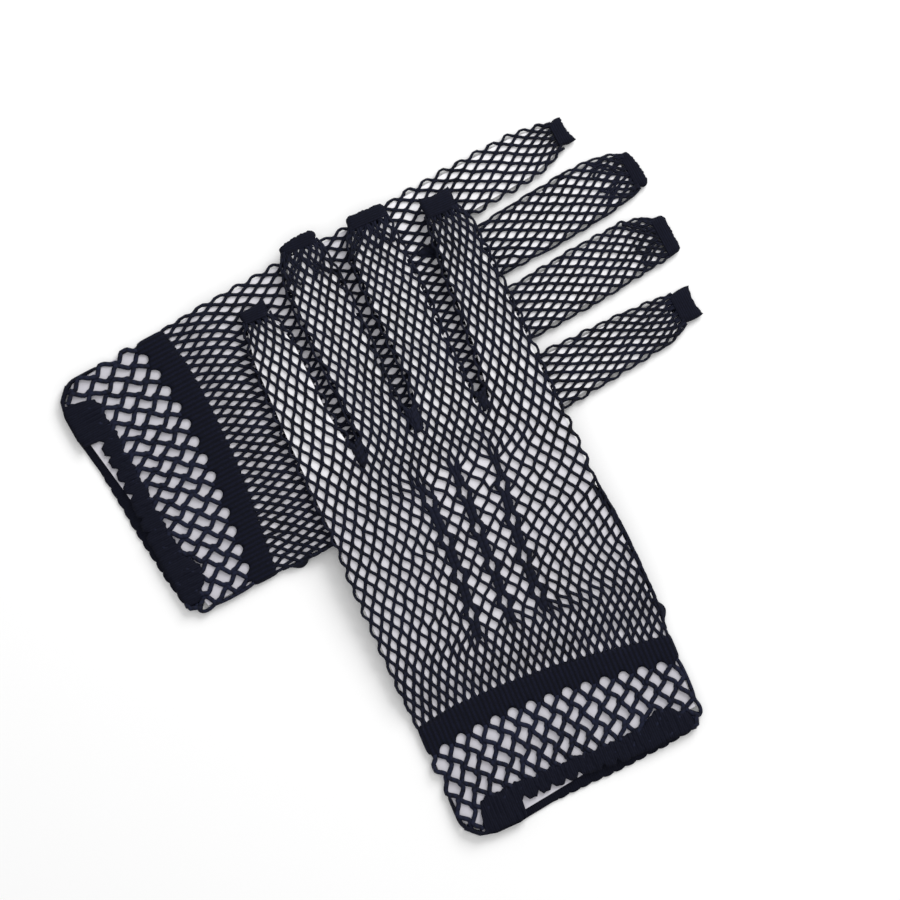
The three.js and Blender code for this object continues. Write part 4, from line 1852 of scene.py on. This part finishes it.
# How the underside of each glove climbs from the table over its folded thumb
CLIMB = ((10, 0), (13, 0.2 * THUMB_ROOM), (17, 0.8 * THUMB_ROOM), (20, THUMB_ROOM))
LEFT_LIE = Lie(
    (0.060628, -0.075765), 23,
    Table(("v", "height"), (*CLIMB, (64, CROSSING - 0.4), (72, CROSSING))),
)
RIGHT_LIE = Lie(
    (-0.060472, 0.005035), -62,
    Table(
        ("v", "height"),
        (
            *CLIMB, (88, THUMB_ROOM), (93, 0.85 * THUMB_ROOM), (105, 0.15 * THUMB_ROOM), (110, 0),
        ),
    ),
)


@dataclass(frozen=True)
class Lamp:
    """A square soft light that shines on the middle of the pair: its place, width and watts."""

    name: str
    place: tuple[float, float, float]
    size: float
    power: float


@dataclass
class Studio:
    """A white floor, a soft low light from the upper right and a camera that looks straight down.

    Lengths are in metres, but lens and sensor in millimetres.
    """

    view_centre: tuple[float, float] = (0.02406, 0.00944)
    view_width: float = 0.3195
    lens: float = 135.0
    sensor: float = 36.0
    floor_half: float = 1.5
    floor_colour: str = "#fbfbfb"
    lamps: tuple[Lamp, ...] = (
        Lamp("key", (0.5, 0.9, 0.74), 0.7, 12.0),
        Lamp("overhead", (0.1, 0.1, 1.4), 0.9, 2.5),
    )
    sky_strength: float = 0.6

    def build_camera(self) -> None:
        """Places the camera over the middle of the photographed view."""
        data = bpy.data.cameras.new("camera")
        data.lens, data.sensor_width = self.lens, self.sensor
        data.clip_start, data.clip_end = 0.05, 10
        camera = bpy.data.objects.new("camera", data)
        bpy.context.scene.collection.objects.link(camera)
        distance = self.view_width * self.lens / self.sensor
        camera.location = (*self.view_centre, distance)
        camera.rotation_euler = (0, 0, 0)
        bpy.context.scene.camera = camera

    def build_floor(self) -> None:
        """Lays the pale floor on which the pair rests."""
        bpy.ops.object.select_all(action="DESELECT")
        bpy.ops.mesh.primitive_plane_add(size=2 * self.floor_half, location=(0, 0, 0))
        floor = bpy.context.object
        floor.name = "floor"
        material = bpy.data.materials.new("matt_white_floor")
        material.use_nodes = True
        surface = material.node_tree.nodes["Principled BSDF"]
        fill_inputs(material, surface, {
            "Base Color": to_linear(self.floor_colour),
            "Roughness": 0.9, "Specular IOR Level": 0.1,
        })
        floor.data.materials.append(material)

    def build_lights(self) -> None:
        """Hangs a large soft light low at the upper right and a weak one overhead."""
        for lamp in self.lamps:
            data = bpy.data.lights.new(lamp.name, "AREA")
            data.size, data.energy = lamp.size, lamp.power
            light = bpy.data.objects.new(lamp.name, data)
            light.location = lamp.place
            light.rotation_euler = (-Vector(lamp.place)).to_track_quat("-Z", "Y").to_euler()
            bpy.context.scene.collection.objects.link(light)
        world = bpy.data.worlds.new("studio")
        world.use_nodes = True
        sky = world.node_tree.nodes["Background"]
        sky.inputs["Color"].default_value = (1, 1, 1, 1)
        sky.inputs["Strength"].default_value = self.sky_strength
        bpy.context.scene.world = world
        bpy.context.scene.view_settings.view_transform = "Standard"

    def build(self) -> None:
        """Sets up the camera, the floor and the lights."""
        self.build_camera()
        self.build_floor()
        self.build_lights()


def main() -> None:
    """Builds the studio and both gloves."""
    logging.basicConfig(level=logging.INFO, format="%(message)s")
    bpy.ops.object.select_all(action="DESELECT")
    Studio().build()
    Glove("right", RIGHT_LIE, Face.LOWER).dress()
    Glove("left", LEFT_LIE, Face.UPPER).dress()


if __name__ == "__main__":
    main()
